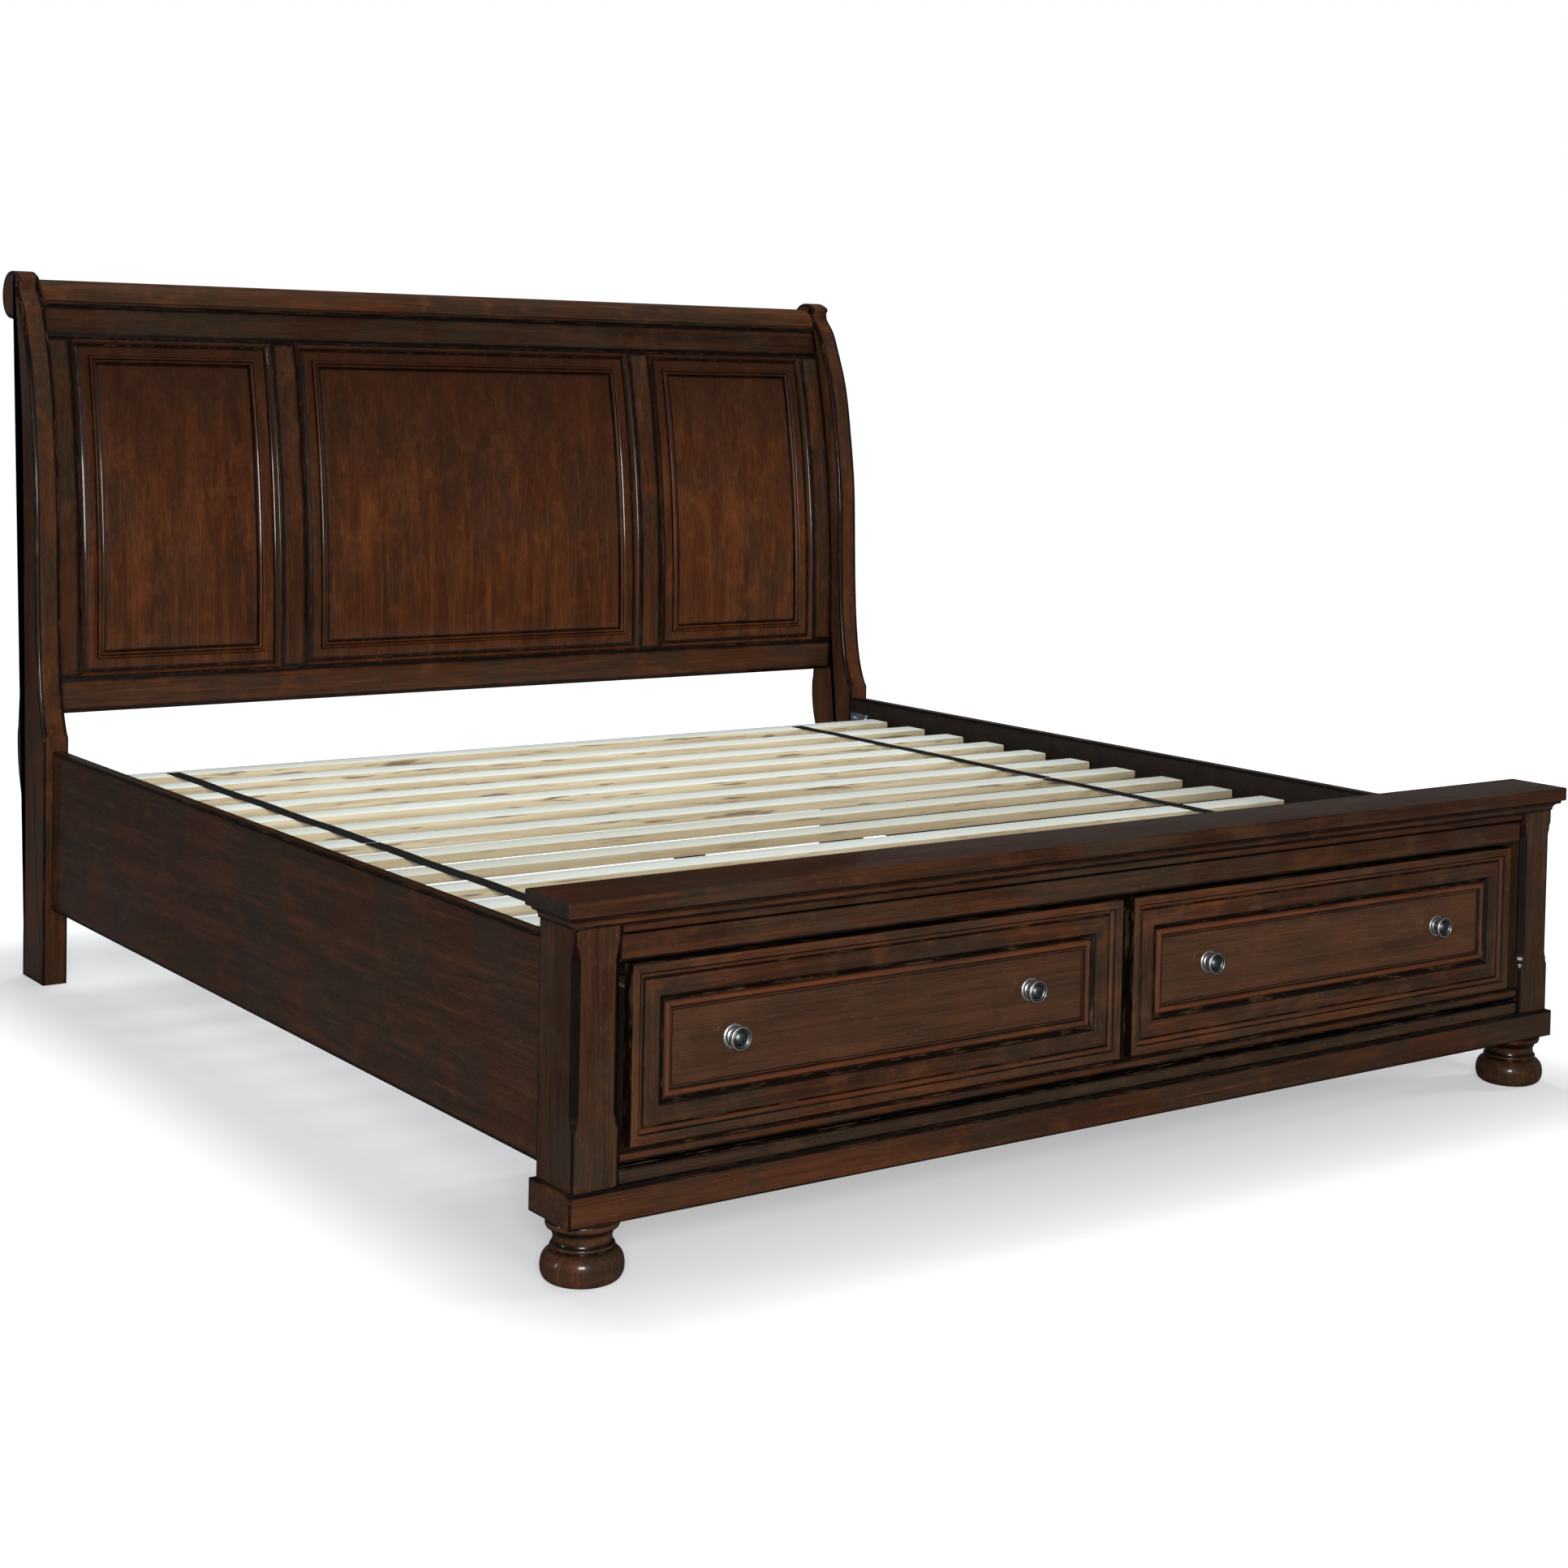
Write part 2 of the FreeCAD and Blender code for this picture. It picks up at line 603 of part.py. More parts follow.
def bun_foot(side):
    """Turned foot: a squat ball, a ring, a hollow neck and a disc under the plinth."""
    body = new_body("bun_foot_" + side)
    sketch = new_sketch(body, "XZ_Plane", "BunFoot%sProfile" % side.title())
    tall = SIZES["plinth_low"]
    base, ball, pinch, ring, neck, disc = 46.0, 60.0, 45.0, 47.5, 42.5, 53.5
    ball_low, ball_high = point(base, 0), point(pinch, 46)
    ring_high = point(44, 55)
    cove_high = point(50, 77)
    disc_high = point(disc - 1.5, tall)

    def arc(start, middle, end):
        return Part.Arc(start, middle, end)

    sketch.addGeometry(Part.LineSegment(point(0, tall), point(0, 0)), False)
    sketch.addGeometry(Part.LineSegment(point(0, 0), ball_low), False)
    sketch.addGeometry(arc(ball_low, point(ball, 23.5), ball_high), False)
    sketch.addGeometry(arc(ball_high, point(ring, 50.5), ring_high), False)
    sketch.addGeometry(arc(ring_high, point(neck, 62), cove_high), False)
    sketch.addGeometry(Part.LineSegment(cove_high, point(disc - 1, 77)), False)
    sketch.addGeometry(arc(point(disc - 1, 77), point(disc + 1, 83), disc_high), False)
    sketch.addGeometry(Part.LineSegment(disc_high, point(0, tall)), False)
    turned = body.newObject("PartDesign::Revolution", "BunFoot%sTurning" % side.title())
    turned.Profile = sketch
    turned.ReferenceAxis = (sketch, ["V_Axis"])
    turned.Angle = 360.0
    centre = "-foot_centre" if side == "left" else "foot_centre"
    place(body, centre, "foot_depth", "0")
    keep(body, "bun_foot_" + side)


def foot_screws():
    """Hanger bolts that hold the turned feet to the plinth blocks."""
    bolts = []
    for side in ("left", "right"):
        bolt = doc.addObject("Part::Cylinder", "FootBolt" + side.title())
        bind(bolt, "Radius", "bolt_radius")
        bind(bolt, "Height", "foot_bolt_long")
        centre = "-foot_centre" if side == "left" else "foot_centre"
        place(bolt, centre, "foot_depth", "foot_bolt_low")
        bolts.append(bolt)
    group("foot_screws", bolts)


def footboard():
    for side in ("left", "right"):
        foot_post(side)
    cap()
    cove_board()
    top_rail()
    stepped_strip()
    inner = "foot_span / 2 - foot_post_wide"
    board("footboard_back_rail", "-(%s)" % inner,
          "foot_post_front + foot_post_deep - back_rail_thick", "back_rail_low",
          "2 * (%s)" % inner, "back_rail_thick", "cove_low - back_rail_low")
    board("footboard_bottom_rail", "-(%s)" % inner, "bottom_rail_front", "bottom_rail_low",
          "2 * (%s)" % inner, "foot_post_front + foot_post_deep - bottom_rail_front",
          "bottom_rail_thick")
    board("plinth_front", "-plinth_wide / 2", "0", "plinth_low",
          "plinth_wide", "plinth_thick", "plinth_tall")
    for side in ("left", "right"):
        board("plinth_block_" + side,
              mirrored_x(side, "plinth_wide / 2 - block_wide", "plinth_wide / 2"),
              "plinth_thick", "plinth_low", "block_wide", "plinth_deep - plinth_thick",
              "plinth_tall")
        bun_foot(side)
    foot_screws()


# ------------------------------------------------------------------ drawer bay and drawers
BAY_INNER = "foot_span / 2 - foot_post_wide"


def runner_x(side, where, member):
    """Low x of a runner member: fixed ones on the bay, moving ones on the drawer."""
    if member == "fixed":
        inner = "(%s) - runner_thick" % BAY_INNER
        middle = "divider_thick / 2"
    else:
        inner = "(%s) - 2 * runner_thick - reveal" % BAY_INNER
        middle = "divider_thick / 2 + runner_thick + reveal"
    low = inner if where == "outer" else middle
    high = "(%s) + runner_thick" % low
    return mirrored_x(side, low, high)


def drawer_bay():
    """Sides, divider and back that carry the runners behind the footboard."""
    rear = "foot_post_front + foot_post_deep"
    for side in ("left", "right"):
        board("bay_side_" + side, mirrored_x(side, BAY_INNER, "(%s) + bay_board" % BAY_INNER),
              rear, "bottom_rail_low", "bay_board", "bay_back - bay_board - (%s)" % rear,
              "bay_high - bottom_rail_low")
    low = "bottom_rail_low + bottom_rail_thick"
    board("bay_divider", "-divider_thick / 2", "divider_front", low, "divider_thick",
          "bay_back - bay_board - divider_front", "back_rail_low - (%s)" % low)
    board("bay_back", "-(%s) - bay_board" % BAY_INNER, "bay_back - bay_board",
          "bottom_rail_low", "2 * (%s) + 2 * bay_board" % BAY_INNER, "bay_board",
          "bay_high - bottom_rail_low")
    fixed = [box(runner_x(side, where, "fixed"), "runner_front", "runner_low",
                 "runner_thick", "runner_long", "runner_tall", "FixedRunner%s%s" % (side, where))
             for side in ("left", "right") for where in ("outer", "middle")]
    group("drawer_fixed_runners", fixed)


def front_rectangle(body, name, depth, inset):
    """Sketch on a plane `depth` behind the drawer's face: its outline drawn in by `inset`."""
    sketch = new_sketch(body, "XZ_Plane", name)
    bind(sketch, "AttachmentOffset.Base.z", "-(%s)" % depth)
    rectangle(sketch, inset, inset, "%s - 2 * (%s)" % (FRONT_WIDE, inset),
              "front_high - front_low - 2 * (%s)" % inset)
    return sketch


def sloped_recess(body, name, sections):
    """Recess that narrows from the first rectangle to the second."""
    sketches = [front_rectangle(body, "%s%d" % (name, number), depth, inset)
                for number, (depth, inset) in enumerate(sections)]
    doc.recompute()
    before = body.Shape.Volume
    recess = body.newObject("PartDesign::SubtractiveLoft", name)
    recess.Profile = sketches[0]
    recess.Sections = [sketches[1]]
    doc.recompute()
    if body.Shape.Volume >= before - 1:
        raise RuntimeError(name + " cuts nothing")


FRONT_WIDE = "foot_span / 2 - foot_post_wide - front_gap - front_gap / 2"


def drawer_front(side):
    """Frame of the drawer front: a rim that slopes in, a flat band and an inner moulding."""
    label = "%s_drawer_front" % side
    body = new_body(label)
    name = side.title() + "Front"
    pad(body, front_rectangle(body, name + "Outline", "0", "0"), "front_thick", backwards=True)
    sloped_recess(body, name + "Rim", [("0", "rim_flat"), ("rim_slope_deep", "rim_slope_wide")])
    sloped_recess(body, name + "Ogee",
                  [("rim_slope_deep", "frame_wide"),
                   ("rim_slope_deep + ogee_deep", "frame_wide + ogee_wide")])
    hole = front_rectangle(body, name + "Opening", "rim_slope_deep + ogee_deep",
                           "frame_wide + ogee_wide")
    pocket(body, hole, "front_thick")
    place(body, mirrored_x(side, "front_gap / 2", "front_gap / 2 + " + FRONT_WIDE),
          "front_face", "front_low")
    keep(body, label)
    inset = "(frame_wide + ogee_wide)"
    board("%s_drawer_panel" % side,
          mirrored_x(side, "front_gap / 2 + " + inset,
                     "front_gap / 2 + %s - %s" % (FRONT_WIDE, inset)),
          "knob_back", "front_low + " + inset, "%s - 2 * %s" % (FRONT_WIDE, inset),
          "front_face + front_thick - knob_back", "front_high - front_low - 2 * " + inset)


def knob_profile(sketch, corners, arcs):
    """Half outline of a turned piece, as straight runs with some of them bulged."""
    for number, start in enumerate(corners):
        end = corners[(number + 1) % len(corners)]
        if number in arcs:
            sketch.addGeometry(Part.Arc(point(*start), point(*arcs[number]), point(*end)), False)
        else:
            sketch.addGeometry(Part.LineSegment(point(*start), point(*end)), False)


def dome_middle(edge, low, tip):
    """Halfway point of the ball-shaped dome from the ring's edge to its tip on the axis."""
    rise = abs(tip - low)
    radius = (edge ** 2 + rise ** 2) / (2 * rise)
    half = edge / 2
    return (half, tip + radius - math.sqrt(radius ** 2 - half ** 2))


def turned_on_panel(name, side, offset, corners, arcs):
    """A piece turned about the knob's axis, standing forward from the drawer panel."""
    body = new_body(name)
    sketch = new_sketch(body, "XY_Plane", name + "Profile")
    knob_profile(sketch, corners, arcs)
    turned = body.newObject("PartDesign::Revolution", name + "Turning")
    turned.Profile = sketch
    turned.ReferenceAxis = (sketch, ["V_Axis"])
    turned.Angle = 360.0
    middle = "(front_gap / 2 + (%s) / 2)" % FRONT_WIDE
    sign = "-" if side == "left" else ""
    place(body, "%s%s + %s" % (sign, middle, offset), "knob_back", "knob_tall")
    return body


def drawer_hardware(side):
    """Two round back plates and two knobs with their screws."""
    # outlines: radius, then distance in front of the panel (negative) or behind its face
    ring = [(2.2, 0), (19, 0), (19, -1.6), (11, -4.2), (2.2, -4.2)]
    ring_bulges = {2: (15.5, -3.8)}
    knob = [(0, 11), (5, 11), (5, 8.2), (2, 8.2), (2, -4.4), (8, -4.4), (6, -10),
            (15.5, -14.5), (17.8, -17.5), (16.4, -20.2), (13, -20.6), (12, -19.6), (0, -24)]
    knob_bulges = {5: (5.8, -7.2), 7: (17.4, -15.6), 11: dome_middle(12, -19.6, -24)}
    plates = []
    knobs = []
    for number, offset in enumerate(("-knob_offset", "knob_offset")):
        plates.append(turned_on_panel("%sPlate%d" % (side.title(), number), side, offset, ring,
                                      ring_bulges))
        knobs.append(turned_on_panel("%sKnob%d" % (side.title(), number), side, offset, knob,
                                     knob_bulges))
    group("%s_drawer_back_plates" % side, plates)
    group("%s_drawer_knobs" % side, knobs)


def drawer_box(side):
    """Sides, back and bottom of the box, and the runner members it carries."""
    low = "divider_thick / 2 + 2 * runner_thick + 2 * reveal"
    high = "(%s) - 2 * runner_thick - 2 * reveal" % BAY_INNER
    rear = "front_face + front_thick"
    walls = [box(mirrored_x(side, low, "(%s) + box_board" % low), rear, "box_low",
                 "box_board", "box_deep", "box_tall", "%sWallMiddle" % side.title()),
             box(mirrored_x(side, "(%s) - box_board" % high, high), rear, "box_low",
                 "box_board", "box_deep", "box_tall", "%sWallOuter" % side.title())]
    group("%s_drawer_sides" % side, walls)
    inside = "(%s) - (%s) - 2 * box_board" % (high, low)
    board("%s_drawer_back" % side,
          mirrored_x(side, "(%s) + box_board" % low, "(%s) - box_board" % high),
          "%s + box_deep - box_board" % rear, "box_low", inside, "box_board",
          "box_tall - box_board")
    board("%s_drawer_bottom" % side,
          mirrored_x(side, "(%s) + box_board" % low, "(%s) - box_board" % high), rear,
          "box_low + box_bottom_up", inside, "box_deep - box_board", "box_bottom_thick")
    moving = [box(runner_x(side, where, "moving"), "runner_front", "runner_low + runner_step",
                  "runner_thick", "runner_long - runner_short", "runner_tall - 2 * runner_step",
                  "%sMovingRunner%s" % (side.title(), where)) for where in ("outer", "middle")]
    group("%s_drawer_runners" % side, moving)


# ------------------------------------------------------------------ rails and deck
def side_rails():
    """Deep side rails with a cleat inside each, and the steel fittings at their ends."""
    inner = "rail_span / 2 - rail_thick"
    front = "foot_post_front + foot_post_deep"
    plates = []
    bolts = []
    gussets = []
    for side in ("left", "right"):
        board("side_rail_" + side, mirrored_x(side, inner, "rail_span / 2"), front, "rail_low",
              "rail_thick", "head_post_front - (%s)" % front, "rail_tall")
        board("slat_cleat_" + side,
              mirrored_x(side, "%s - cleat_wide" % inner, inner),
              "%s + plate_deep + cleat_clear" % front, "slat_low - cleat_tall", "cleat_wide",
              "head_post_front - (%s) - 2 * plate_deep - 2 * cleat_clear" % front, "cleat_tall")
        face = mirrored_x(side, "%s - plate_thick" % inner, inner)
        for end, depth, tab in (("foot", front, "%s - tab_deep" % front),
                                ("head", "head_post_front - plate_deep", "head_post_front")):
            title = side.title() + end.title()
            parts = [box(face, depth, "plate_low", "plate_thick", "plate_deep", "plate_tall",
                         "Plate" + title)]
            for number, up in enumerate(("tab_low", "tab_low + tab_pitch")):
                parts.append(box(face, tab, "plate_low + " + up, "plate_thick", "tab_deep",
                                 "tab_tall", "PlateTab%s%d" % (title, number)))
            plate = doc.addObject("Part::MultiFuse", "HookPlate" + title)
            plate.Shapes = parts
            plates.append(plate)
            corners = [(along, up) for up in ("bolt_end", "plate_tall - bolt_end")
                       for along in ("bolt_side", "plate_deep - bolt_side")]
            for number, (along, up) in enumerate(corners):
                bolts.append(rail_bolt("%s%d" % (title, number), side,
                                       "%s + %s" % (depth, along), "plate_low + " + up))
        gussets.append(cleat_gusset(side))
    group("rail_hook_plates", plates)
    group("rail_bolts", bolts)
    group("cleat_gussets", gussets)


def rail_bolt(title, side, depth, height):
    """Screw through a hook plate into the rail, its head inside the bed."""
    inner = "rail_span / 2 - rail_thick"
    head = doc.addObject("Part::Cylinder", "BoltHead" + title)
    bind(head, "Radius", "bolt_head_radius")
    bind(head, "Height", "bolt_head_thick")
    shank = doc.addObject("Part::Cylinder", "BoltShank" + title)
    bind(shank, "Radius", "bolt_radius")
    bind(shank, "Height", "bolt_long + plate_thick")
    along_x = FreeCAD.Rotation(FreeCAD.Vector(0, 0, 1), FreeCAD.Vector(1, 0, 0))
    for item in (head, shank):
        item.Placement = FreeCAD.Placement(FreeCAD.Vector(0, 0, 0), along_x)
    place(head, mirrored_x(side, "%s - plate_thick - bolt_head_thick" % inner,
                           "%s - plate_thick" % inner), depth, height)
    place(shank, mirrored_x(side, "%s - plate_thick" % inner, "%s + bolt_long" % inner), depth,
          height)
    screw = doc.addObject("Part::Fuse", "RailBolt" + title)
    screw.Base = head
    screw.Tool = shank
    return screw


def cleat_gusset(side):
    """Three-cornered steel plate on the rail under the head end of the cleat."""
    body = new_body("Gusset" + side.title())
    sketch = new_sketch(body, "YZ_Plane", "Gusset%sOutline" % side.title())
    rear = "head_post_front - gusset_back"
    front = rear + " - gusset_long"
    high = "slat_low - cleat_tall"
    outline(sketch, [(front, "gusset_low", (1926, 225)), (rear, high, (2060, 393)),
                     (front, high, (1926, 393))])
    pad(body, sketch, "gusset_thick")
    inner = "rail_span / 2 - rail_thick"
    place(body, mirrored_x(side, "%s - gusset_thick" % inner, inner), "0", "0")
    return body


def slat_deck():
    """Two rolls of slats, each stapled to a pair of webbing straps."""
    for label, numbers in (("foot", FOOT_ROLL_SLATS), ("head", HEAD_ROLL_SLATS)):
        slats = [box("-slat_long / 2", "slat_first + %d * slat_pitch" % number, "slat_low",
                     "slat_long", "slat_deep", "slat_thick", "Slat%d" % number)
                 for number in numbers]
        group("slats_%s_roll" % label, slats)
        first, last = min(numbers), max(numbers)
        start = "slat_first + %d * slat_pitch + slat_deep / 4" % first
        if label == "foot":
            length = "%d * slat_pitch - reveal" % (last + 1 - first)
        else:
            length = "%d * slat_pitch + slat_deep / 2" % (last - first)
        straps = [box("%s - strap_wide / 2" % middle, start, "slat_low + slat_thick",
                      "strap_wide", length, "strap_thick",
                      "Strap%s%s" % (label.title(), middle.split("_")[1].title()))
                  for middle in ("strap_left", "strap_right")]
        group("straps_%s_roll" % label, straps)
    under_slat = "slat_first + %d * slat_pitch + (slat_deep - leg_side) / 2" % LEG_SLAT
    stands = [(x, y, top) for y, top in (("bay_back", "bay_high"), (under_slat, "slat_low"))
              for x in ("-leg_centre", "leg_centre")]
    legs = [box("%s - leg_side / 2" % x, y, "0", "leg_side", "leg_side", top, "Leg%d" % number)
            for number, (x, y, top) in enumerate(stands)]
    group("support_legs", legs)


# ------------------------------------------------------------------ build, check, write
def check(items):
    """Stop if any object failed to compute, or any sub-part isn't a sound solid."""
    for item in doc.Objects:
        faults = [word for word in item.State if word in ("Invalid", "Error")]
        if faults:
            raise RuntimeError("%s is %s" % (item.Name, faults))
    for item in items:
        shape = item.Shape
        if shape.isNull() or not shape.isValid() or not shape.Solids:
            raise RuntimeError("%s has no sound shape" % item.Label)


def main():
    headboard()
    footboard()
    drawer_bay()
    for side in ("left", "right"):
        drawer_front(side)
        drawer_hardware(side)
        drawer_box(side)
    side_rails()
    slat_deck()
    doc.recompute()
    check(nodes)
    os.makedirs("parts", exist_ok=True)
    for item in nodes:
        item.Shape.exportStep("parts/%s.step" % item.Label)
    print("%d sub-parts written" % len(nodes))


main()
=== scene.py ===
import json
import math
import random

import bmesh
import bpy
from mathutils import Matrix, Vector


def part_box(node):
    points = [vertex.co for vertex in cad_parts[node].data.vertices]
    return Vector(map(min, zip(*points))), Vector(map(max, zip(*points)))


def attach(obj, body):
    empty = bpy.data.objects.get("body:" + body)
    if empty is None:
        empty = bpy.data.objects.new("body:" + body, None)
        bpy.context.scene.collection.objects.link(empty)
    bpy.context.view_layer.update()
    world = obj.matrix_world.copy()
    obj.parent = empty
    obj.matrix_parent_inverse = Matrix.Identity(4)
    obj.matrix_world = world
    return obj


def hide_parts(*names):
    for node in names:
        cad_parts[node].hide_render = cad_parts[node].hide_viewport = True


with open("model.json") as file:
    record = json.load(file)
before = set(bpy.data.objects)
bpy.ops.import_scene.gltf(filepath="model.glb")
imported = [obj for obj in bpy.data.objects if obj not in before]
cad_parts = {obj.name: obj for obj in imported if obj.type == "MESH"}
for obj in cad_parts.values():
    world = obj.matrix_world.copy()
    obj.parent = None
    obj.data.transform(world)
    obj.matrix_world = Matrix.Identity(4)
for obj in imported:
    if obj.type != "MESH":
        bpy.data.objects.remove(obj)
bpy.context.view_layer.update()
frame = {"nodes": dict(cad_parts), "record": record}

NODES = frame["nodes"]
RECORD = frame["record"]
BODY_OF = {node: body for body, nodes in RECORD["behaviour"]["bodies"].items() for node in nodes}
MM = 0.001


# ------------------------------------------------------------------ materials
class Shader:
    """A small helper that adds nodes to one material and links them.

    Two mesh attributes steer the materials. `tone` is a random number for each solid. `edge` is
    1 on burnished edges and high in the mouldings' grooves and recess steps, where the darkening is
    painted shade; it fades to 0 on flats, and is below 0 where wood is rubbed or metal is grooved.
    """

    def __init__(self, name):
        self.material = bpy.data.materials.new(name)
        self.material.use_nodes = True
        self.tree = self.material.node_tree
        self.main = self.tree.nodes["Principled BSDF"]

    def node(self, kind, **settings):
        made = self.tree.nodes.new(kind)
        for key, value in settings.items():
            setattr(made, key, value)
        return made

    def link(self, source, target):
        self.tree.links.new(source, target)

    def coordinates(self, scale=(1.0, 1.0, 1.0)):
        """Object coordinates, shifted for each solid by its own tone and then scaled."""
        place = self.node("ShaderNodeTexCoord")
        tone = self.node("ShaderNodeAttribute", attribute_name="tone")
        shift = self.node("ShaderNodeVectorMath", operation="MULTIPLY_ADD")
        self.link(tone.outputs["Vector"], shift.inputs[0])
        shift.inputs[1].default_value = TONE_SHIFT
        self.link(place.outputs["Object"], shift.inputs[2])
        mapping = self.node("ShaderNodeMapping")
        mapping.inputs["Scale"].default_value = scale
        self.link(shift.outputs[0], mapping.inputs["Vector"])
        return mapping.outputs["Vector"]

    def noise(self, vector, scale, detail=4.0, rough=0.55, warp=0.0):
        made = self.node("ShaderNodeTexNoise")
        made.inputs["Scale"].default_value = scale
        made.inputs["Detail"].default_value = detail
        made.inputs["Roughness"].default_value = rough
        made.inputs["Distortion"].default_value = warp
        self.link(vector, made.inputs["Vector"])
        return made.outputs["Fac"]

    def ramp(self, value, *stops):
        made = self.node("ShaderNodeValToRGB")
        while len(made.color_ramp.elements) < len(stops):
            made.color_ramp.elements.new(0.5)
        for element, (at, colour) in zip(made.color_ramp.elements, stops):
            element.position = at
            element.color = (*colour, 1.0)
        self.link(value, made.inputs["Fac"])
        return made.outputs["Color"]

    def level(self, value, low, high, start=0.0, end=1.0):
        """The value mapped from low..high to start..end, smoothly and with ends held."""
        made = self.node("ShaderNodeMapRange", interpolation_type="SMOOTHSTEP")
        for key, number in (("From Min", low), ("From Max", high), ("To Min", start),
                            ("To Max", end)):
            made.inputs[key].default_value = number
        self.link(value, made.inputs["Value"])
        return made.outputs["Result"]

    def blend(self, factor, first, second):
        """The first colour where the factor is 0, the second where it is 1."""
        made = self.node("ShaderNodeMix", data_type="RGBA")
        self.link(factor, made.inputs["Factor"])
        slots = [socket for socket in made.inputs if socket.type == "RGBA"]
        for socket, value in zip(slots, (first, second)):
            if isinstance(value, tuple):
                socket.default_value = (*value, 1.0)
            else:
                self.link(value, socket)
        return next(socket for socket in made.outputs if socket.type == "RGBA")

    def sums(self, operation, first, second):
        made = self.node("ShaderNodeMath", operation=operation)
        for socket, value in zip(made.inputs, (first, second)):
            if isinstance(value, (int, float)):
                socket.default_value = value
            else:
                self.link(value, socket)
        return made.outputs[0]

    def bump(self, height, strength, distance):
        made = self.node("ShaderNodeBump")
        made.inputs["Strength"].default_value = strength
        made.inputs["Distance"].default_value = distance
        self.link(height, made.inputs["Height"])
        self.link(made.outputs["Normal"], self.main.inputs["Normal"])

    def attribute(self, name):
        return self.node("ShaderNodeAttribute", attribute_name=name).outputs["Fac"]

    def tint(self, colour, low, high):
        """The colour scaled by low to high, by the tone of each solid."""
        toned = self.node("ShaderNodeVectorMath", operation="SCALE")
        self.link(colour, toned.inputs[0])
        self.link(self.level(self.attribute("tone"), 0.0, 1.0, low, high), toned.inputs["Scale"])
        return toned.outputs[0]


TONE_SHIFT = (7.3, 11.9, 5.1)


def along(axis, long):
    """Scale that stretches a pattern along one axis, for grain."""
    return tuple(long if letter == axis else 1.0 for letter in "XYZ")


def times(scale, colour):
    return tuple(scale * part for part in colour)


OLIVE = (0.0215, 0.0150, 0.0088)


def stained_wood(name, axis, dark, middle, light, worn, rough=0.36, mottle=0.72, coat=0.26,
                 painted_top_shade=0.0):
    """Stained cherry: mottled stain, fine grain, burnished edges and a thin worn line on them.
    Darkening in grooves and recess steps is painted shade, and so is the optional darkening towards
    the top.
    """
    mat = Shader(name)
    blotch_at = mat.coordinates()
    bands = mat.noise(mat.coordinates(along(axis, 0.07)), 26.0, 5.0, 0.6, 0.6)
    fibre = mat.noise(mat.coordinates(along(axis, 0.018)), 420.0, 3.0, 0.6)
    blotch = mat.noise(blotch_at, 5.5, 3.0, 0.55, 0.3)
    cloud = mat.noise(blotch_at, 17.0, 4.0, 0.6, 0.2)
    wood = mat.ramp(bands, (0.25, dark), (0.52, middle), (0.80, light))
    wood = mat.blend(mat.sums("MULTIPLY", mat.level(blotch, 0.40, 0.62), mottle), wood, OLIVE)
    wood = mat.blend(mat.level(cloud, 0.52, 0.72, 0.0, 0.5), wood, light)
    wood = mat.blend(mat.level(fibre, 0.40, 0.70, 0.0, 0.45), wood, times(0.35, dark))
    streaks = mat.noise(mat.coordinates(along(axis, 0.05)), 110.0, 4.0, 0.7, 0.4)
    wood = mat.blend(mat.level(streaks, 0.50, 0.72, 0.0, 0.55), wood, light)
    flecks = mat.noise(mat.coordinates(along(axis, 0.10)), 900.0, 1.0, 0.5)
    wood = mat.blend(mat.level(flecks, 0.68, 0.78, 0.0, 0.30), wood, worn)
    wood = mat.tint(wood, 0.80, 1.12)
    # Painted shade: darker towards the top, from 0.90 m up to 1.32 m.
    if painted_top_shade:
        split = mat.node("ShaderNodeSeparateXYZ")
        place = mat.node("ShaderNodeTexCoord")
        mat.link(place.outputs["Object"], split.inputs[0])
        wood = mat.blend(mat.level(split.outputs["Z"], 0.90, 1.32, 0.0, painted_top_shade), wood,
                         times(0.6, dark))
    burnish_and_shade = mat.attribute("edge")
    rubbed = mat.sums("MULTIPLY", mat.level(burnish_and_shade, -1.0, 0.0, 0.62, 0.0),
                      mat.level(streaks, 0.34, 0.62, 0.35, 1.0))
    wood = mat.blend(rubbed, wood, (1.15 * light[0], 0.85 * light[1], light[2]))
    # Darkest where edge is high: burnished edges, and painted shade in grooves and recess steps.
    ragged = mat.sums("SUBTRACT", burnish_and_shade, mat.level(cloud, 0.3, 0.7, 0.0, 0.10))
    wood = mat.blend(mat.level(ragged, 0.38, 0.80, 0.0, 0.94), wood, times(0.12, dark))
    broken = mat.noise(mat.coordinates(along(axis, 0.25)), 60.0, 3.0, 0.7)
    line = mat.sums("MULTIPLY", mat.level(burnish_and_shade, 0.955, 0.995), mat.level(broken, 0.50, 0.66))
    wood = mat.blend(mat.sums("MULTIPLY", line, 0.16), wood, worn)
    mat.link(wood, mat.main.inputs["Base Color"])
    mat.link(mat.level(cloud, 0.3, 0.7, rough - 0.03, rough + 0.06), mat.main.inputs["Roughness"])
    mat.main.inputs["Coat Weight"].default_value = coat
    mat.main.inputs["Coat Roughness"].default_value = 0.10
    mat.main.inputs["Specular IOR Level"].default_value = 0.10
    relief = mat.sums("ADD", mat.sums("MULTIPLY", fibre, 0.6), mat.sums("MULTIPLY", bands, 0.4))
    mat.bump(relief, 0.10, 0.0004)
    return mat.material


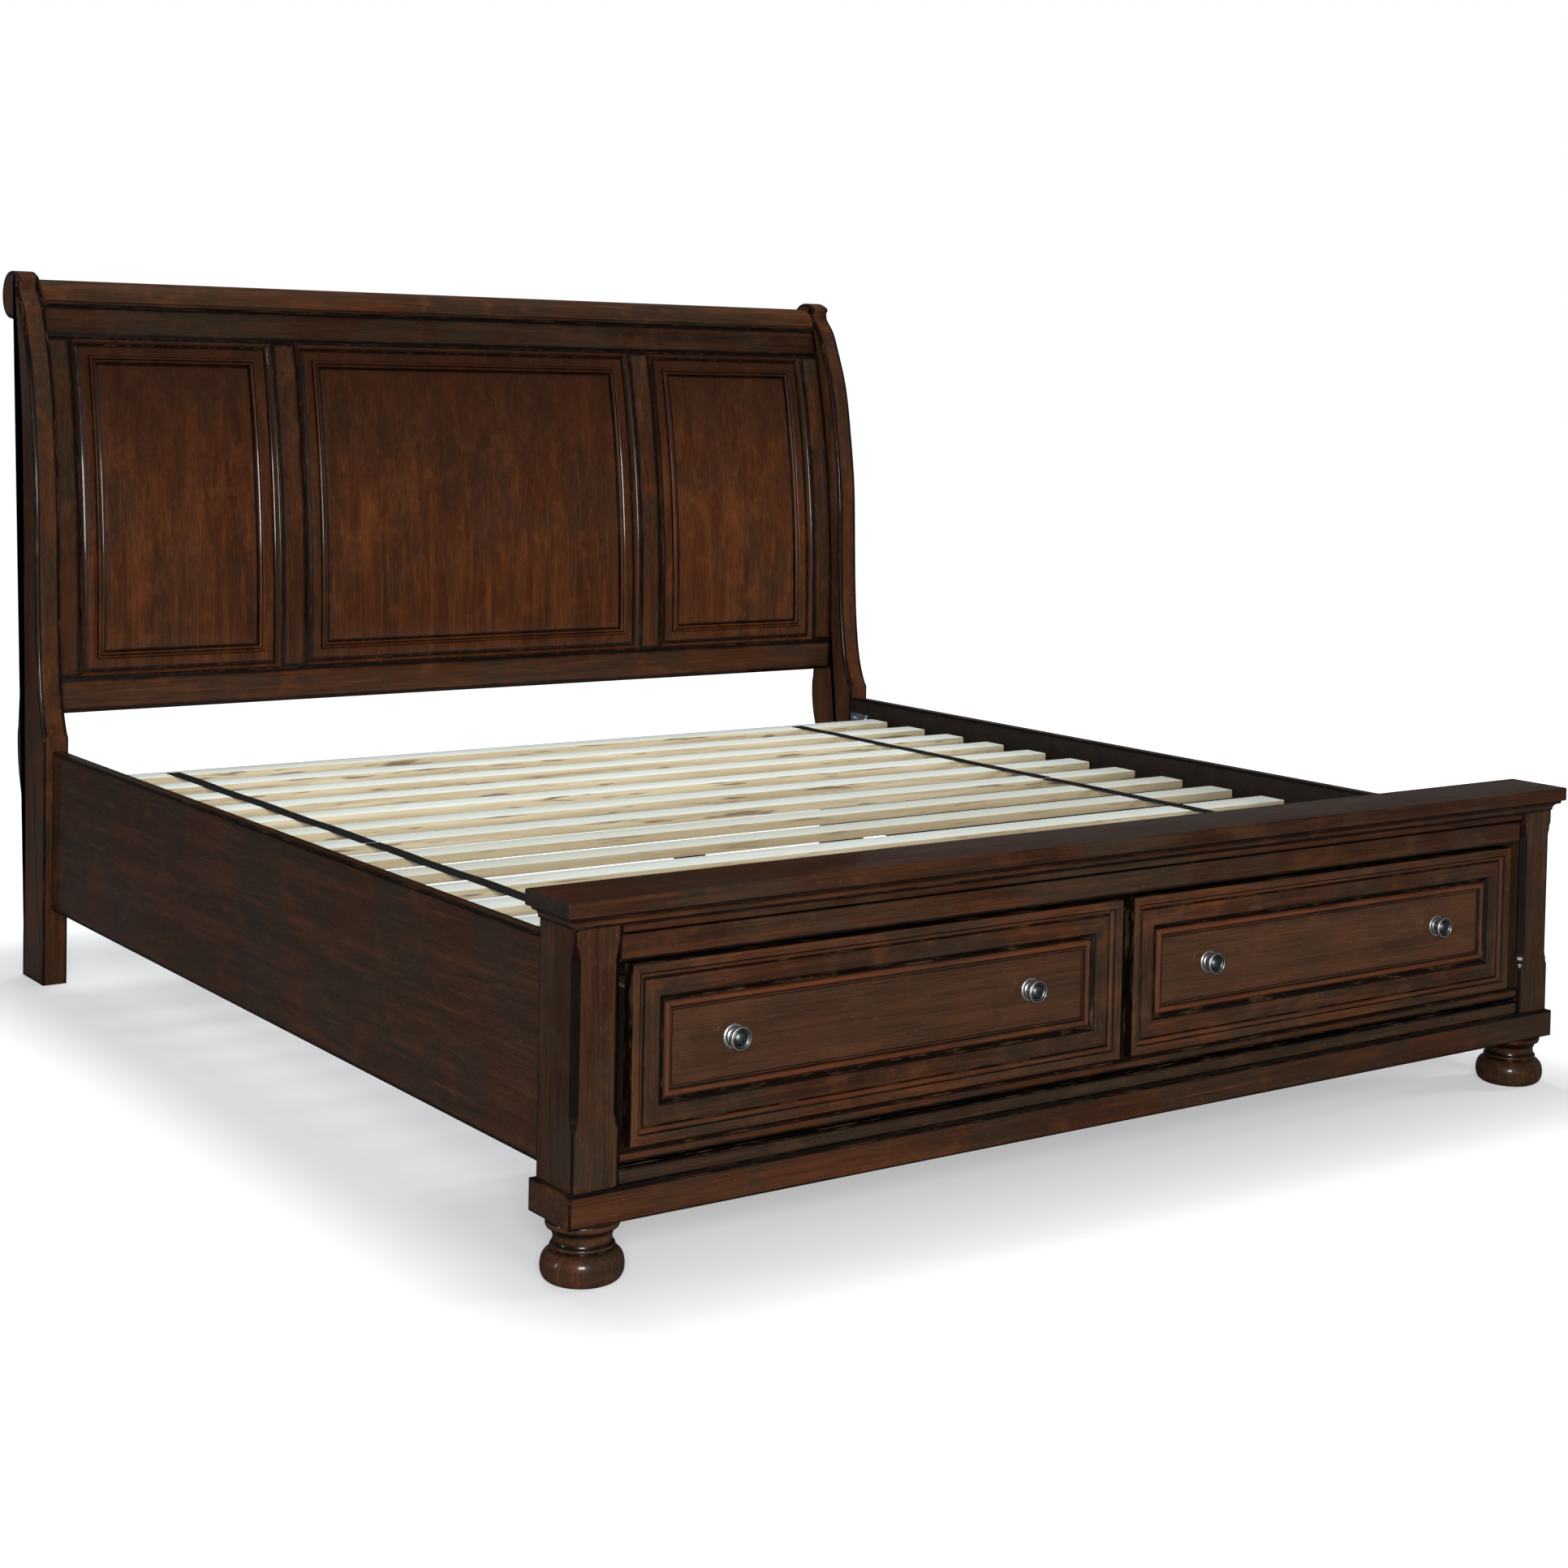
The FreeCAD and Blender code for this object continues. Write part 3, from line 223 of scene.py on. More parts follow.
def raw_wood(name, axis, pale, tan, knot, rough=0.62, streak=0.5, ply=0.25):
    """Bare softwood with growth bands, streaks, scattered knots and dark ply lines."""
    mat = Shader(name)
    bands = mat.noise(mat.coordinates(along(axis, 0.035)), 90.0, 4.0, 0.6, 0.5)
    broad = mat.noise(mat.coordinates(along(axis, 0.08)), 16.0, 3.0, 0.55, 0.6)
    fibre = mat.noise(mat.coordinates(along(axis, 0.015)), 600.0, 2.0, 0.6)
    wood = mat.ramp(bands, (0.30, pale), (0.72, tan))
    wood = mat.blend(mat.level(broad, 0.50, 0.72, 0.0, streak), wood, tan)
    spots = mat.node("ShaderNodeTexVoronoi")
    spots.inputs["Scale"].default_value = 6.5
    knot_scale = [0.55 if letter == axis else 1.5 for letter in "XYZ"]
    mat.link(mat.coordinates(knot_scale), spots.inputs["Vector"])
    chance = mat.node("ShaderNodeSeparateColor")
    mat.link(spots.outputs["Color"], chance.inputs[0])
    near = mat.level(spots.outputs["Distance"], 0.03, 0.10, 1.0, 0.0)
    near = mat.sums("MULTIPLY", near, mat.level(chance.outputs[0], 0.62, 0.70))
    wood = mat.blend(mat.sums("MULTIPLY", near, 0.75), wood, knot)
    lines = mat.noise(mat.coordinates(along(axis, 0.05)), 130.0, 2.0, 0.7)
    wood = mat.blend(mat.level(lines, 0.57, 0.68, 0.0, ply), wood, knot)
    wood = mat.blend(mat.level(mat.attribute("tone"), 0.45, 0.75, 0.0, 0.55), wood, tan)
    mat.link(mat.tint(wood, 1.06, 0.86), mat.main.inputs["Base Color"])
    mat.main.inputs["Roughness"].default_value = rough
    mat.bump(mat.sums("ADD", fibre, bands), 0.25, 0.0006)
    return mat.material


GROOVE = (0.012, 0.014, 0.015)


def metal(name, bright, dull, rough, speckle=180.0, wear=None):
    """Metal with a cloudy patina; worn edges show the wear colour, and grooves are dark."""
    mat = Shader(name)
    cloud = mat.noise(mat.coordinates(), speckle, 4.0, 0.6)
    colour = mat.ramp(cloud, (0.35, dull), (0.65, bright))
    if wear:
        edge = mat.attribute("edge")
        rub = mat.noise(mat.coordinates(), speckle * 2.2, 3.0, 0.6)
        colour = mat.blend(mat.sums("MULTIPLY", edge, mat.level(rub, 0.25, 0.5)), colour, wear)
        colour = mat.blend(mat.level(edge, -1.0, 0.0, 0.92, 0.0), colour, GROOVE)
    mat.link(colour, mat.main.inputs["Base Color"])
    mat.main.inputs["Metallic"].default_value = 1.0
    mat.link(mat.level(cloud, 0.3, 0.7, rough, rough + 0.14), mat.main.inputs["Roughness"])
    mat.bump(cloud, 0.12, 0.0003)
    return mat.material


def webbing(name):
    """Black woven strap: ribs across its width and fine yarns."""
    mat = Shader(name)
    ribs = mat.node("ShaderNodeTexWave", wave_type="BANDS", bands_direction="Y")
    ribs.inputs["Scale"].default_value = 130.0
    ribs.inputs["Distortion"].default_value = 0.6
    mat.link(mat.coordinates(), ribs.inputs["Vector"])
    yarn = mat.noise(mat.coordinates((1.0, 0.2, 1.0)), 900.0, 2.0, 0.5)
    height = mat.sums("ADD", ribs.outputs["Fac"], mat.sums("MULTIPLY", yarn, 0.5))
    mat.link(mat.ramp(height, (0.2, (0.003, 0.003, 0.003)), (0.95, (0.013, 0.013, 0.014))),
             mat.main.inputs["Base Color"])
    mat.main.inputs["Roughness"].default_value = 0.8
    mat.main.inputs["Specular IOR Level"].default_value = 0.15
    mat.bump(height, 0.6, 0.0005)
    return mat.material


DARK = (0.016, 0.0068, 0.0036)
MIDDLE = (0.040, 0.0138, 0.0056)
LIGHT = (0.078, 0.0260, 0.0090)
WORN = (0.20, 0.105, 0.052)
PALE_WORN = (0.06, 0.045, 0.035)
WOOD = {axis: stained_wood("cherry_grain_" + axis, axis, DARK, MIDDLE, LIGHT, WORN)
        for axis in "XYZ"}
# Headboard panels, darkened towards their top as painted shade.
PANEL_WOOD = stained_wood("cherry_panel", "Z", (0.023, 0.0076, 0.0032), (0.057, 0.0168, 0.0054),
                          (0.108, 0.0325, 0.0092), WORN, mottle=0.42, painted_top_shade=0.66)
DRAWER_WOOD = stained_wood("cherry_drawer_panel", "X", (0.027, 0.0112, 0.0052),
                           (0.047, 0.0190, 0.0085), (0.064, 0.0255, 0.0108), WORN,
                           rough=0.34, mottle=0.35)
# Dark matte wood: the dark finish of the hidden inner frame, cleats and legs, and painted shade on
# faces that lie in shade, such as the drawer sides in the gaps, the plinth's top, the cap's ends
# and the rails' inner faces.
DARK_WOOD_AND_PAINTED_SHADE = stained_wood("dark_inner_wood_and_painted_shade", "X", (0.010, 0.0072, 0.0062),
                          (0.017, 0.0115, 0.0092), (0.026, 0.017, 0.013), PALE_WORN,
                          rough=0.55, mottle=0.4, coat=0.0)
# Darker copies of the cherry for the top rails, the cap and the foot posts: painted shade.
TOP_WOOD_PAINTED_SHADE, POST_WOOD_PAINTED_SHADE = (
    stained_wood(name, axis, times(0.62, DARK), times(0.62, MIDDLE), times(0.66, LIGHT),
                 times(0.8, WORN))
    for name, axis in (("cherry_top_painted_shade", "X"), ("cherry_post_painted_shade", "Z")))
# A darker copy of the cherry for the recessed strip under the drawers: painted shade.
STRIP_WOOD_PAINTED_SHADE = stained_wood("cherry_strip_painted_shade", "X", (0.012, 0.0074, 0.0045),
                          (0.029, 0.0155, 0.0088), (0.056, 0.0250, 0.0115), WORN)
BOX_WOOD = raw_wood("drawer_box_wood", "X", (0.20, 0.120, 0.066), (0.14, 0.080, 0.042),
                    (0.08, 0.045, 0.024), rough=0.45, streak=0.3)
# Slat tops: pale wood made cooler and brighter than the sides, painted light from above over the
# real grain and knots.
SLAT_TOP_PAINTED_LIGHT = raw_wood("slat_top_painted_light", "X", (0.66, 0.705, 0.700), (0.57, 0.560, 0.455),
                    (0.36, 0.31, 0.24), rough=0.6, streak=0.3, ply=0.2)
SLAT_SIDE = raw_wood("slat_side", "X", (0.62, 0.55, 0.385), (0.40, 0.315, 0.185),
                     (0.085, 0.050, 0.026), rough=0.7, streak=0.7, ply=0.75)
STEEL = metal("zinc_plate", (0.56, 0.63, 0.70), (0.38, 0.44, 0.50), 0.30, 120.0)
RUNNER = metal("runner_steel", (0.50, 0.51, 0.53), (0.36, 0.37, 0.39), 0.32, 90.0)
PEWTER = metal("antique_pewter", (0.20, 0.225, 0.225), (0.080, 0.095, 0.098), 0.34, 420.0,
               (0.88, 0.89, 0.87))
STRAP = webbing("black_webbing")


# ------------------------------------------------------------------ making pieces
class Piece:
    """A mesh in the making, with an edge value at each of its points: burnished edges, rubbed wear,
    and painted shade in grooves.
    """

    def __init__(self):
        self.bm = bmesh.new()
        self.edge = self.bm.verts.layers.float.new("edge")

    def point(self, spot, burnish_and_shade=0.0):
        vert = self.bm.verts.new(spot)
        vert[self.edge] = burnish_and_shade
        return vert

    def face(self, *corners):
        return self.bm.faces.new(corners)

    def band(self, first, second):
        """Faces between one ring of points and the next, one for each side of the ring."""
        return [self.face(first[n - 1], first[n], second[n], second[n - 1])
                for n in list(range(1, len(first))) + [0]]

    def skin(self, rings):
        """A closed surface through rings of points, with a face over each end."""
        for first, second in zip(rings, rings[1:]):
            self.band(first, second)
        self.face(*rings[0])
        self.face(*rings[-1])


def publish(bm, name, node, materials, smooth_angle, seed=None):
    """Turn a finished mesh into a piece that stands for its CAD node."""
    mark_tones(bm, seed or node)
    bmesh.ops.recalc_face_normals(bm, faces=bm.faces)
    mesh = bpy.data.meshes.new(name)
    bm.to_mesh(mesh)
    bm.free()
    for material in materials:
        mesh.materials.append(material)
    mesh.shade_smooth()
    mesh.set_sharp_from_angle(angle=math.radians(smooth_angle))
    obj = bpy.data.objects.new(name, mesh)
    bpy.context.scene.collection.objects.link(obj)
    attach(obj, BODY_OF[node])
    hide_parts(node)


def cad_mesh(node, whole_faces=True):
    """The mesh of a CAD node with its points joined, and its flat faces made whole."""
    bm = bmesh.new()
    bm.from_mesh(NODES[node].data)
    bmesh.ops.remove_doubles(bm, verts=bm.verts, dist=1e-6)
    if whole_faces:
        bmesh.ops.dissolve_limit(bm, angle_limit=math.radians(0.8), verts=bm.verts,
                                 edges=bm.edges)
    return bm


def islands(bm):
    """The separate solids of a mesh, as lists of vertices."""
    bm.verts.index_update()
    unseen = set(bm.verts)
    while unseen:
        start = min(unseen, key=lambda vert: vert.index)
        stack, found = [start], [start]
        unseen.discard(start)
        while stack:
            for edge in stack.pop().link_edges:
                for vert in edge.verts:
                    if vert in unseen:
                        unseen.discard(vert)
                        stack.append(vert)
                        found.append(vert)
        yield found


def mark_tones(bm, seed):
    """One random tone for each separate solid, the same in every run."""
    layer = bm.verts.layers.float.new("tone")
    chooser = random.Random(seed)
    for solid in islands(bm):
        tone = chooser.random()
        for vert in solid:
            vert[layer] = tone


def detail(node, materials, ease, fade, steps=2, second=None, plain=None):
    """A finer copy of a CAD node: its sharp edges eased, and its faces ringed for burnishing.

    ease and fade are in mm. second(face) picks the faces with the second material, and
    plain(spot) the edges that aren't burnished.
    """
    bm = cad_mesh(node)
    keen = [edge for edge in bm.edges if edge.is_manifold
            and edge.calc_face_angle(0.0) > math.radians(30)]
    eased = bmesh.ops.bevel(bm, geom=keen, offset=ease * MM, offset_type="OFFSET",
                            segments=steps, profile=0.5, affect="EDGES", clamp_overlap=True)
    rims = set(eased["faces"])
    flats = [face for face in bm.faces if face not in rims]
    if fade:
        bmesh.ops.inset_region(bm, faces=flats, thickness=fade * MM, use_even_offset=True,
                               use_boundary=True)
    edge_layer = bm.verts.layers.float.new("edge")
    for face in rims:
        for vert in face.verts:
            vert[edge_layer] = 0.0 if plain and plain(vert.co) else 1.0
    if second:
        for face in bm.faces:
            face.material_index = int(second(face))
    publish(bm, node + "_detail", node, materials, 38)


def grid_lines(low, high, insets, step):
    """Positions from low to high: the insets from each end and even steps between them."""
    start = [low + inset for inset in insets]
    end = [high - inset for inset in reversed(insets)]
    count = max(1, round((end[0] - start[-1]) / step))
    inner = [start[-1] + (end[0] - start[-1]) * n / count for n in range(1, count)]
    return start + inner + end


def profile_at(profile, distance):
    """(height, edge value: burnished edge and painted shade) of a moulding at a distance from its
    outer edge, all in mm.
    """
    for (d0, h0, b0), (d1, h1, b1) in zip(profile, profile[1:]):
        if distance <= d1:
            part = (distance - d0) / (d1 - d0)
            return h0 + (h1 - h0) * part, b0 + (b1 - b0) * part
    return profile[-1][1:]


def moulded_panel(node, profile, put, low, high, thick, materials):
    """A panel whose moulding follows its four edges, bent onto a surface by put(x, z, out)."""
    insets = [distance * MM for distance, _, _ in profile]
    xs = grid_lines(low[0], high[0], insets, 0.08)
    zs = grid_lines(low[1], high[1], insets, 0.03)
    piece = Piece()
    front, back = [], []
    for x in xs:
        front.append([])
        back.append([])
        for z in zs:
            inset = min(x - low[0], high[0] - x, z - low[1], high[1] - z) / MM
            height, burnish_and_shade = profile_at(profile, inset)
            front[-1].append(piece.point(put(x, z, height * MM), burnish_and_shade))
            back[-1].append(piece.point(put(x, z, -thick)))
    wide, tall = len(xs) - 1, len(zs) - 1
    for i in range(wide):
        from_side = min(i, wide - 1 - i)
        for j in range(tall):
            a, b = front[i][j], front[i + 1][j]
            c, d = front[i + 1][j + 1], front[i][j + 1]
            rising = i == j or (wide - 1 - i) == (tall - 1 - j)
            falling = i == tall - 1 - j or (wide - 1 - i) == j
            if rising and from_side < len(insets):
                piece.face(a, b, c)
                piece.face(a, c, d)
            elif falling and from_side < len(insets):
                piece.face(a, b, d)
                piece.face(b, c, d)
            else:
                piece.face(a, b, c, d)
            piece.face(back[i][j + 1], back[i + 1][j + 1], back[i + 1][j], back[i][j])
    for i in range(wide):
        piece.face(front[i][0], back[i][0], back[i + 1][0], front[i + 1][0])
        piece.face(front[i + 1][tall], back[i + 1][tall], back[i][tall], front[i][tall])
    for j in range(tall):
        piece.face(front[0][j + 1], back[0][j + 1], back[0][j], front[0][j])
        piece.face(front[wide][j], back[wide][j], back[wide][j + 1], front[wide][j + 1])
    publish(piece.bm, node + "_moulded", node, materials, 24)


def moulded_frame(node, profile, low, high, materials):
    """A mitred frame: the moulding swept round a rectangle. Sides take their own grain."""
    back = -(high.y - low.y) / MM
    loop = list(profile) + [(profile[-1][0], back, 1.0), (profile[0][0], back, 1.0)]
    piece = Piece()
    rings = []
    for inset, height, burnish_and_shade in loop:
        d = inset * MM
        y = low.y - height * MM
        rings.append([piece.point((x, y, z), burnish_and_shade) for x, z in (
            (low.x + d, low.z + d), (high.x - d, low.z + d),
            (high.x - d, high.z - d), (low.x + d, high.z - d))])
    for number, ring in enumerate(rings):
        for side, face in enumerate(piece.band(ring, rings[(number + 1) % len(rings)])):
            face.material_index = side % 2
    publish(piece.bm, node + "_moulded", node, materials, 24)


def lathe(name, node, profile, centres, axis, material, count):
    """Turned pieces: (radius, distance, edge value) swept round an axis through each centre."""
    piece = Piece()
    for x, y, z in centres:
        rings = []
        for radius, distance, burnish_and_shade in profile:
            ring = []
            for n in range(count if radius > 1e-6 else 1):
                angle = 2 * math.pi * n / count
                across, up = radius * math.cos(angle), radius * math.sin(angle)
                if axis == "Z":
                    spot = (x + across, y + up, z + distance)
                else:
                    spot = (x + across, y - distance, z + up)
                ring.append(piece.point(spot, burnish_and_shade))
            rings.append(ring)
        for first, second in zip(rings, rings[1:]):
            if len(first) == len(second):
                piece.band(first, second)
                continue
            tip, ring = sorted((first, second), key=len)
            for n in range(count):
                piece.face(tip[0], ring[n], ring[n - 1])
    publish(piece.bm, name, node, [material], 35, seed=name)


def rounded(spans, steps, scale=1.0):
    """Profile in metres from spans in mm: (start, bulge, end, (edge value mid, edge value ends)).
    """
    out = []
    for start, bulge, end, burnish_and_shade in spans:
        for n in range(steps + 1):
            t = n / steps
            radius, height = ((1 - t) ** 2 * start[a] + 2 * t * (1 - t) * bulge[a] + t * t * end[a]
                              for a in (0, 1))
            if not out or abs(out[-1][0] - radius) + abs(out[-1][1] - height) > 1e-6:
                out.append((radius, height,
                            burnish_and_shade[0] + (burnish_and_shade[1] - burnish_and_shade[0]) * abs(2 * t - 1)))
    return [(radius * MM, height * MM * scale, burnish_and_shade) for radius, height, burnish_and_shade in out]


def smooth_step(value):
    value = min(1.0, max(0.0, value))
    return value * value * (3 - 2 * value)


# ------------------------------------------------------------------ headboard
BEND_START = 0.700      # height at which the headboard starts to lean back
BEND_RADIUS = 2.500
PANEL_THICK = 19 * MM
LEG_TOP = 0.509         # above this height the head posts' corners are rounder


def headboard_surface():
    """put(x, z, out): a point on the headboard's face, bent as the CAD boards are."""
    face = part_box("headboard_bottom_rail")[0].y

    def put(x, z, out):
        if z <= BEND_START:
            return (x, face - out, z)
        rise = z - BEND_START
        lean = math.sqrt(BEND_RADIUS ** 2 - rise ** 2)
        scale = (BEND_RADIUS + out) / BEND_RADIUS
        return (x, face + BEND_RADIUS - lean * scale, BEND_START + rise * scale)

    return put


def side_outline(node):
    """The (y, z) outline of a plank's side face, in order, from its CAD solid."""
    bm = cad_mesh(node)
    sides = [face for face in bm.faces if face.normal.x < -0.9]
    widest = max(sides, key=lambda face: face.calc_area())
    points = [(vert.co.y, vert.co.z) for vert in widest.verts]
    bm.free()
    area = sum(a[0] * b[1] - b[0] * a[1] for a, b in zip(points, points[1:] + points[:1]))
    return points if area > 0 else points[::-1]


def is_corner(before, here, after, limit=28):
    first = Vector((here[0] - before[0], here[1] - before[1]))
    second = Vector((after[0] - here[0], after[1] - here[1]))
    return first.angle(second) > math.radians(limit)


def smooth_outline(points, spacing):
    """The outline with its curves filled in between the CAD's points, corners kept."""
    count = len(points)
    corner = [is_corner(points[n - 1], points[n], points[(n + 1) % count]) for n in range(count)]
    out = []
    for n in range(count):
        p0, p1, p2, p3 = (points[(n + k) % count] for k in (-1, 0, 1, 2))
        if corner[n]:
            p0 = (2 * p1[0] - p2[0], 2 * p1[1] - p2[1])
        if corner[(n + 1) % count]:
            p3 = (2 * p2[0] - p1[0], 2 * p2[1] - p1[1])
        span = math.dist(p1, p2)
        steps = max(1, round(span / spacing))
        straight = not is_corner(p0, p1, p2, 1.0) and not is_corner(p1, p2, p3, 1.0)
        long_run = span > 0.1
        for k in range(steps):
            t = k / steps
            if straight or long_run:
                out.append((p1[0] + (p2[0] - p1[0]) * t, p1[1] + (p2[1] - p1[1]) * t))
                continue
            slope_1 = [(p2[a] - p0[a]) / (math.dist(p0, p1) + span) * span for a in (0, 1)]
            slope_2 = [(p3[a] - p1[a]) / (math.dist(p2, p3) + span) * span for a in (0, 1)]
            h1, h2 = 2 * t ** 3 - 3 * t ** 2 + 1, t ** 3 - 2 * t ** 2 + t
            h3, h4 = -2 * t ** 3 + 3 * t ** 2, t ** 3 - t ** 2
            out.append(tuple(h1 * p1[a] + h2 * slope_1[a] + h3 * p2[a] + h4 * slope_2[a]
                             for a in (0, 1)))
    return out


def inward(points):
    """Direction into the outline at each point, long enough to keep mitres square."""
    count = len(points)
    out = []
    for n in range(count):
        a, b, c = points[n - 1], points[n], points[(n + 1) % count]
        first = Vector((a[1] - b[1], b[0] - a[0])).normalized()
        second = Vector((b[1] - c[1], c[0] - b[0])).normalized()
        both = first + second
        out.append(both / max(0.5, 1.0 + first.dot(second)))
    return out


def head_post_ease(z):
    """Radius of the post's corners: small on the leg, then a lip, then larger on the shaft."""
    above = smooth_step((z - LEG_TOP) / 0.010)
    lip = math.exp(-((z - LEG_TOP - 0.004) / 0.005) ** 2)
    return MM * (1.3 + 3.6 * above + 1.6 * lip)


def make_head_post(side):
    """The post's plank with rounded corners that stop where its square leg begins."""
    node = "head_post_" + side
    low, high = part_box(node)
    outline = smooth_outline(side_outline(node), 0.008)
    into = inward(outline)
    fade = 9 * MM
    rows = [[] for _ in range(6)]
    for (y, z), dip in zip(outline, into):
        ease = head_post_ease(z)
        section = ((0.0, ease + fade, 0.0), (0.0, ease, 1.0), (0.13 * ease, 0.5 * ease, 1.0),
                   (0.5 * ease, 0.13 * ease, 1.0), (ease, 0.0, 1.0), (ease + fade, 0.0, 0.0))
        for row, (across, depth, burnish_and_shade) in zip(rows, section):
            row.append((across, y + dip.x * depth, z + dip.y * depth, burnish_and_shade))
    piece = Piece()
    halves = [(low.x, 1, row) for row in rows] + [(high.x, -1, row) for row in rows[::-1]]
    piece.skin([[piece.point((start + sign * across, y, max(z, low.z)), burnish_and_shade)
                 for across, y, z, burnish_and_shade in row] for start, sign, row in halves])
    publish(piece.bm, node + "_shaped", node, [WOOD["Z"]], 40)


# (distance in from the edge, height, edge value) in mm: rounded edge, flat, two beads and field.
# The dark values at the opening's rim, at the foot of its step and beside the beads are painted
# shade.
PANEL_PROFILE = [(0, -0.4, 1.0), (1.5, -0.3, 1.0), (3.5, -0.9, 0.8), (5.5, -2.4, 0.2),
                 (8.5, -6.0, 0.1), (10.6, -9.2, 0.8), (12.0, -9.8, 1.0), (14.5, -8.9, 1.0),
                 (18, -8.0, 0.6), (24, -7.3, 0.1), (34, -7.2, 0.0),
                 (38.0, -7.4, 0.9), (38.8, -4.0, 0.6), (40.0, -1.8, 0.1), (41.5, -1.0, 0.0),
                 (43.0, -1.9, 0.3), (44.2, -6.2, 1.0), (45.4, -3.4, 0.5), (47.0, -2.0, 0.0),
                 (48.8, -2.8, 0.2), (50.4, -5.6, 0.5), (51.4, -9.2, 1.0), (54, -8.2, 0.9),
                 (60, -7.4, 0.35), (80, -7.0, 0.1), (125, -7.0, 0.0)]


def make_headboard():
    put = headboard_surface()
    rail_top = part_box("headboard_bottom_rail")[1].z
    stile_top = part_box("headboard_end_stile_left")[1].z
    for name in ("left", "centre", "right"):
        node = "headboard_panel_" + name
        low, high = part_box(node)
        moulded_panel(node, PANEL_PROFILE, put, (low.x, rail_top), (high.x, stile_top),
                      PANEL_THICK, [PANEL_WOOD])
    for side in ("left", "right"):
        detail("headboard_end_stile_" + side, [WOOD["Z"]], 0.4, 22)
        detail("headboard_mid_stile_" + side, [WOOD["Z"]], 0.4, 22)
        make_head_post(side)
    detail("headboard_top_rail", [TOP_WOOD_PAINTED_SHADE], 1.2, 20)
    detail("headboard_bottom_rail", [WOOD["X"]], 1.2, 20)
    detail("headboard_roll", [WOOD["X"]], 2.0, 8, 3)


# ------------------------------------------------------------------ footboard
def make_foot_post(side):
    """Post with lamb's-tongue stops where the chamfers of its front corners run out."""
    node = "foot_post_" + side
    low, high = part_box(node)
    stops = ((low.z + 0.086, 1), (low.z + 0.348, -1))
    run, ease, fade = 24 * MM, 1.6 * MM, 7 * MM
    levels = [low.z, low.z + 0.004, low.z + 0.05, (low.z + high.z) / 2,
              high.z - 0.02, high.z - 0.004, high.z]
    for stop, sign in stops:
        levels += [stop - sign * 0.003 * n for n in (2, 1)]
        levels += [stop + sign * run * n / 8 for n in range(9)]
    piece = Piece()
    rings = []
    for z in sorted(set(round(level, 5) for level in levels)):
        depth, lip = 1.0, 0.0
        for stop, sign in stops:
            gap = sign * (z - stop)
            depth *= smooth_step(gap / run)
            if 0 <= gap <= run / 2:
                lip = max(lip, math.sin(math.pi * gap / (run / 2)))
        cut = ease + 6.4 * MM * depth + 2.0 * MM * lip
        front = [(0.0, high.y - ease, 1), (0.0, high.y - fade, 0), (0.0, low.y + cut + fade, 0),
                 (0.0, low.y + cut, 0.94), (cut / 2, low.y + cut / 2, 0.94), (cut, low.y, 0.94),
                 (cut + fade, low.y, 0)]
        corners = [(low.x + across, y, burnish_and_shade) for across, y, burnish_and_shade in front]
        corners += [(high.x - across, y, burnish_and_shade) for across, y, burnish_and_shade in front[::-1]]
        corners += [(high.x - ease, high.y, 1), (low.x + ease, high.y, 1)]
        at_end = 1.0 if z in (round(low.z, 5), round(high.z, 5)) else 0.0
        rings.append([piece.point((x, y, z), max(burnish_and_shade, at_end)) for x, y, burnish_and_shade in corners])
    piece.skin(rings)
    publish(piece.bm, node + "_turned_stops", node, [POST_WOOD_PAINTED_SHADE], 28)


# from the floor up: ball, neck, ring, hollow and disc; the small groove under the ring is
# darkened as painted shade
BUN_SPANS = [((0, 0), (20, 0), (44, 0), (0.2, 0.6)),
             ((44, 0), (59.9, 3), (60, 22), (0.1, 0.5)),
             ((60, 22), (60, 42), (45, 46.5), (0.1, 0.7)),
             ((45, 46.5), (43.8, 47.5), (44.5, 48.2), (1, 1)),
             ((44.5, 48.2), (48.8, 51.5), (44, 55), (0.2, 1)),
             ((44, 55), (39.5, 64), (46, 74), (0.4, 0.9)),
             ((46, 74), (48, 77), (51.5, 77.6), (0.5, 1)),
             ((51.5, 77.6), (55, 83), (52, 88.4), (0.15, 1)),
             ((52, 88.4), (40, 89), (0, 89), (1, 0.5))]


def make_bun_foot(side):
    node = "bun_foot_" + side
    low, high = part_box(node)
    profile = rounded(BUN_SPANS, 8, high.z / (BUN_SPANS[-1][2][1] * MM))
    centre = ((low.x + high.x) / 2, (low.y + high.y) / 2, 0.0)
    lathe(node + "_turned", node, profile, [centre], "Z", WOOD["Z"], 72)


def make_cove_board():
    """Square lip over a hollow moulding, mitred round the front and the two ends."""
    node = "footboard_cove_board"
    low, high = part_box(node)
    tall = (high.z - low.z) / MM
    reach, hollow_deep, hollow_tall = 11, 9, 10.5
    shape = [(reach + 0.4, 0.0, 0.5), (reach, 0.6, 1.0)]
    for n in range(9):
        angle = math.pi / 2 * n / 8
        shape.append((reach - hollow_deep * (1 - math.cos(angle)),
                      1.5 + hollow_tall * math.sin(angle), 0.35 if 0 < n < 8 else 1.0))
    shape += [(0.3, tall - 4.6, 1.0), (0.0, tall - 4.0, 0.7), (0.0, tall - 1.0, 0.9),
              (1.0, tall, 1.0)]
    piece = Piece()
    rings = []
    for inset, rise, burnish_and_shade in shape:
        left, right, front = low.x + inset * MM, high.x - inset * MM, low.y + inset * MM
        rings.append([piece.point((x, y, low.z + rise * MM), burnish_and_shade) for x, y in (
            (left, high.y), (left, front), (right, front), (right, high.y))])
    piece.skin(rings)
    publish(piece.bm, node + "_moulded", node, [WOOD["X"]], 30)


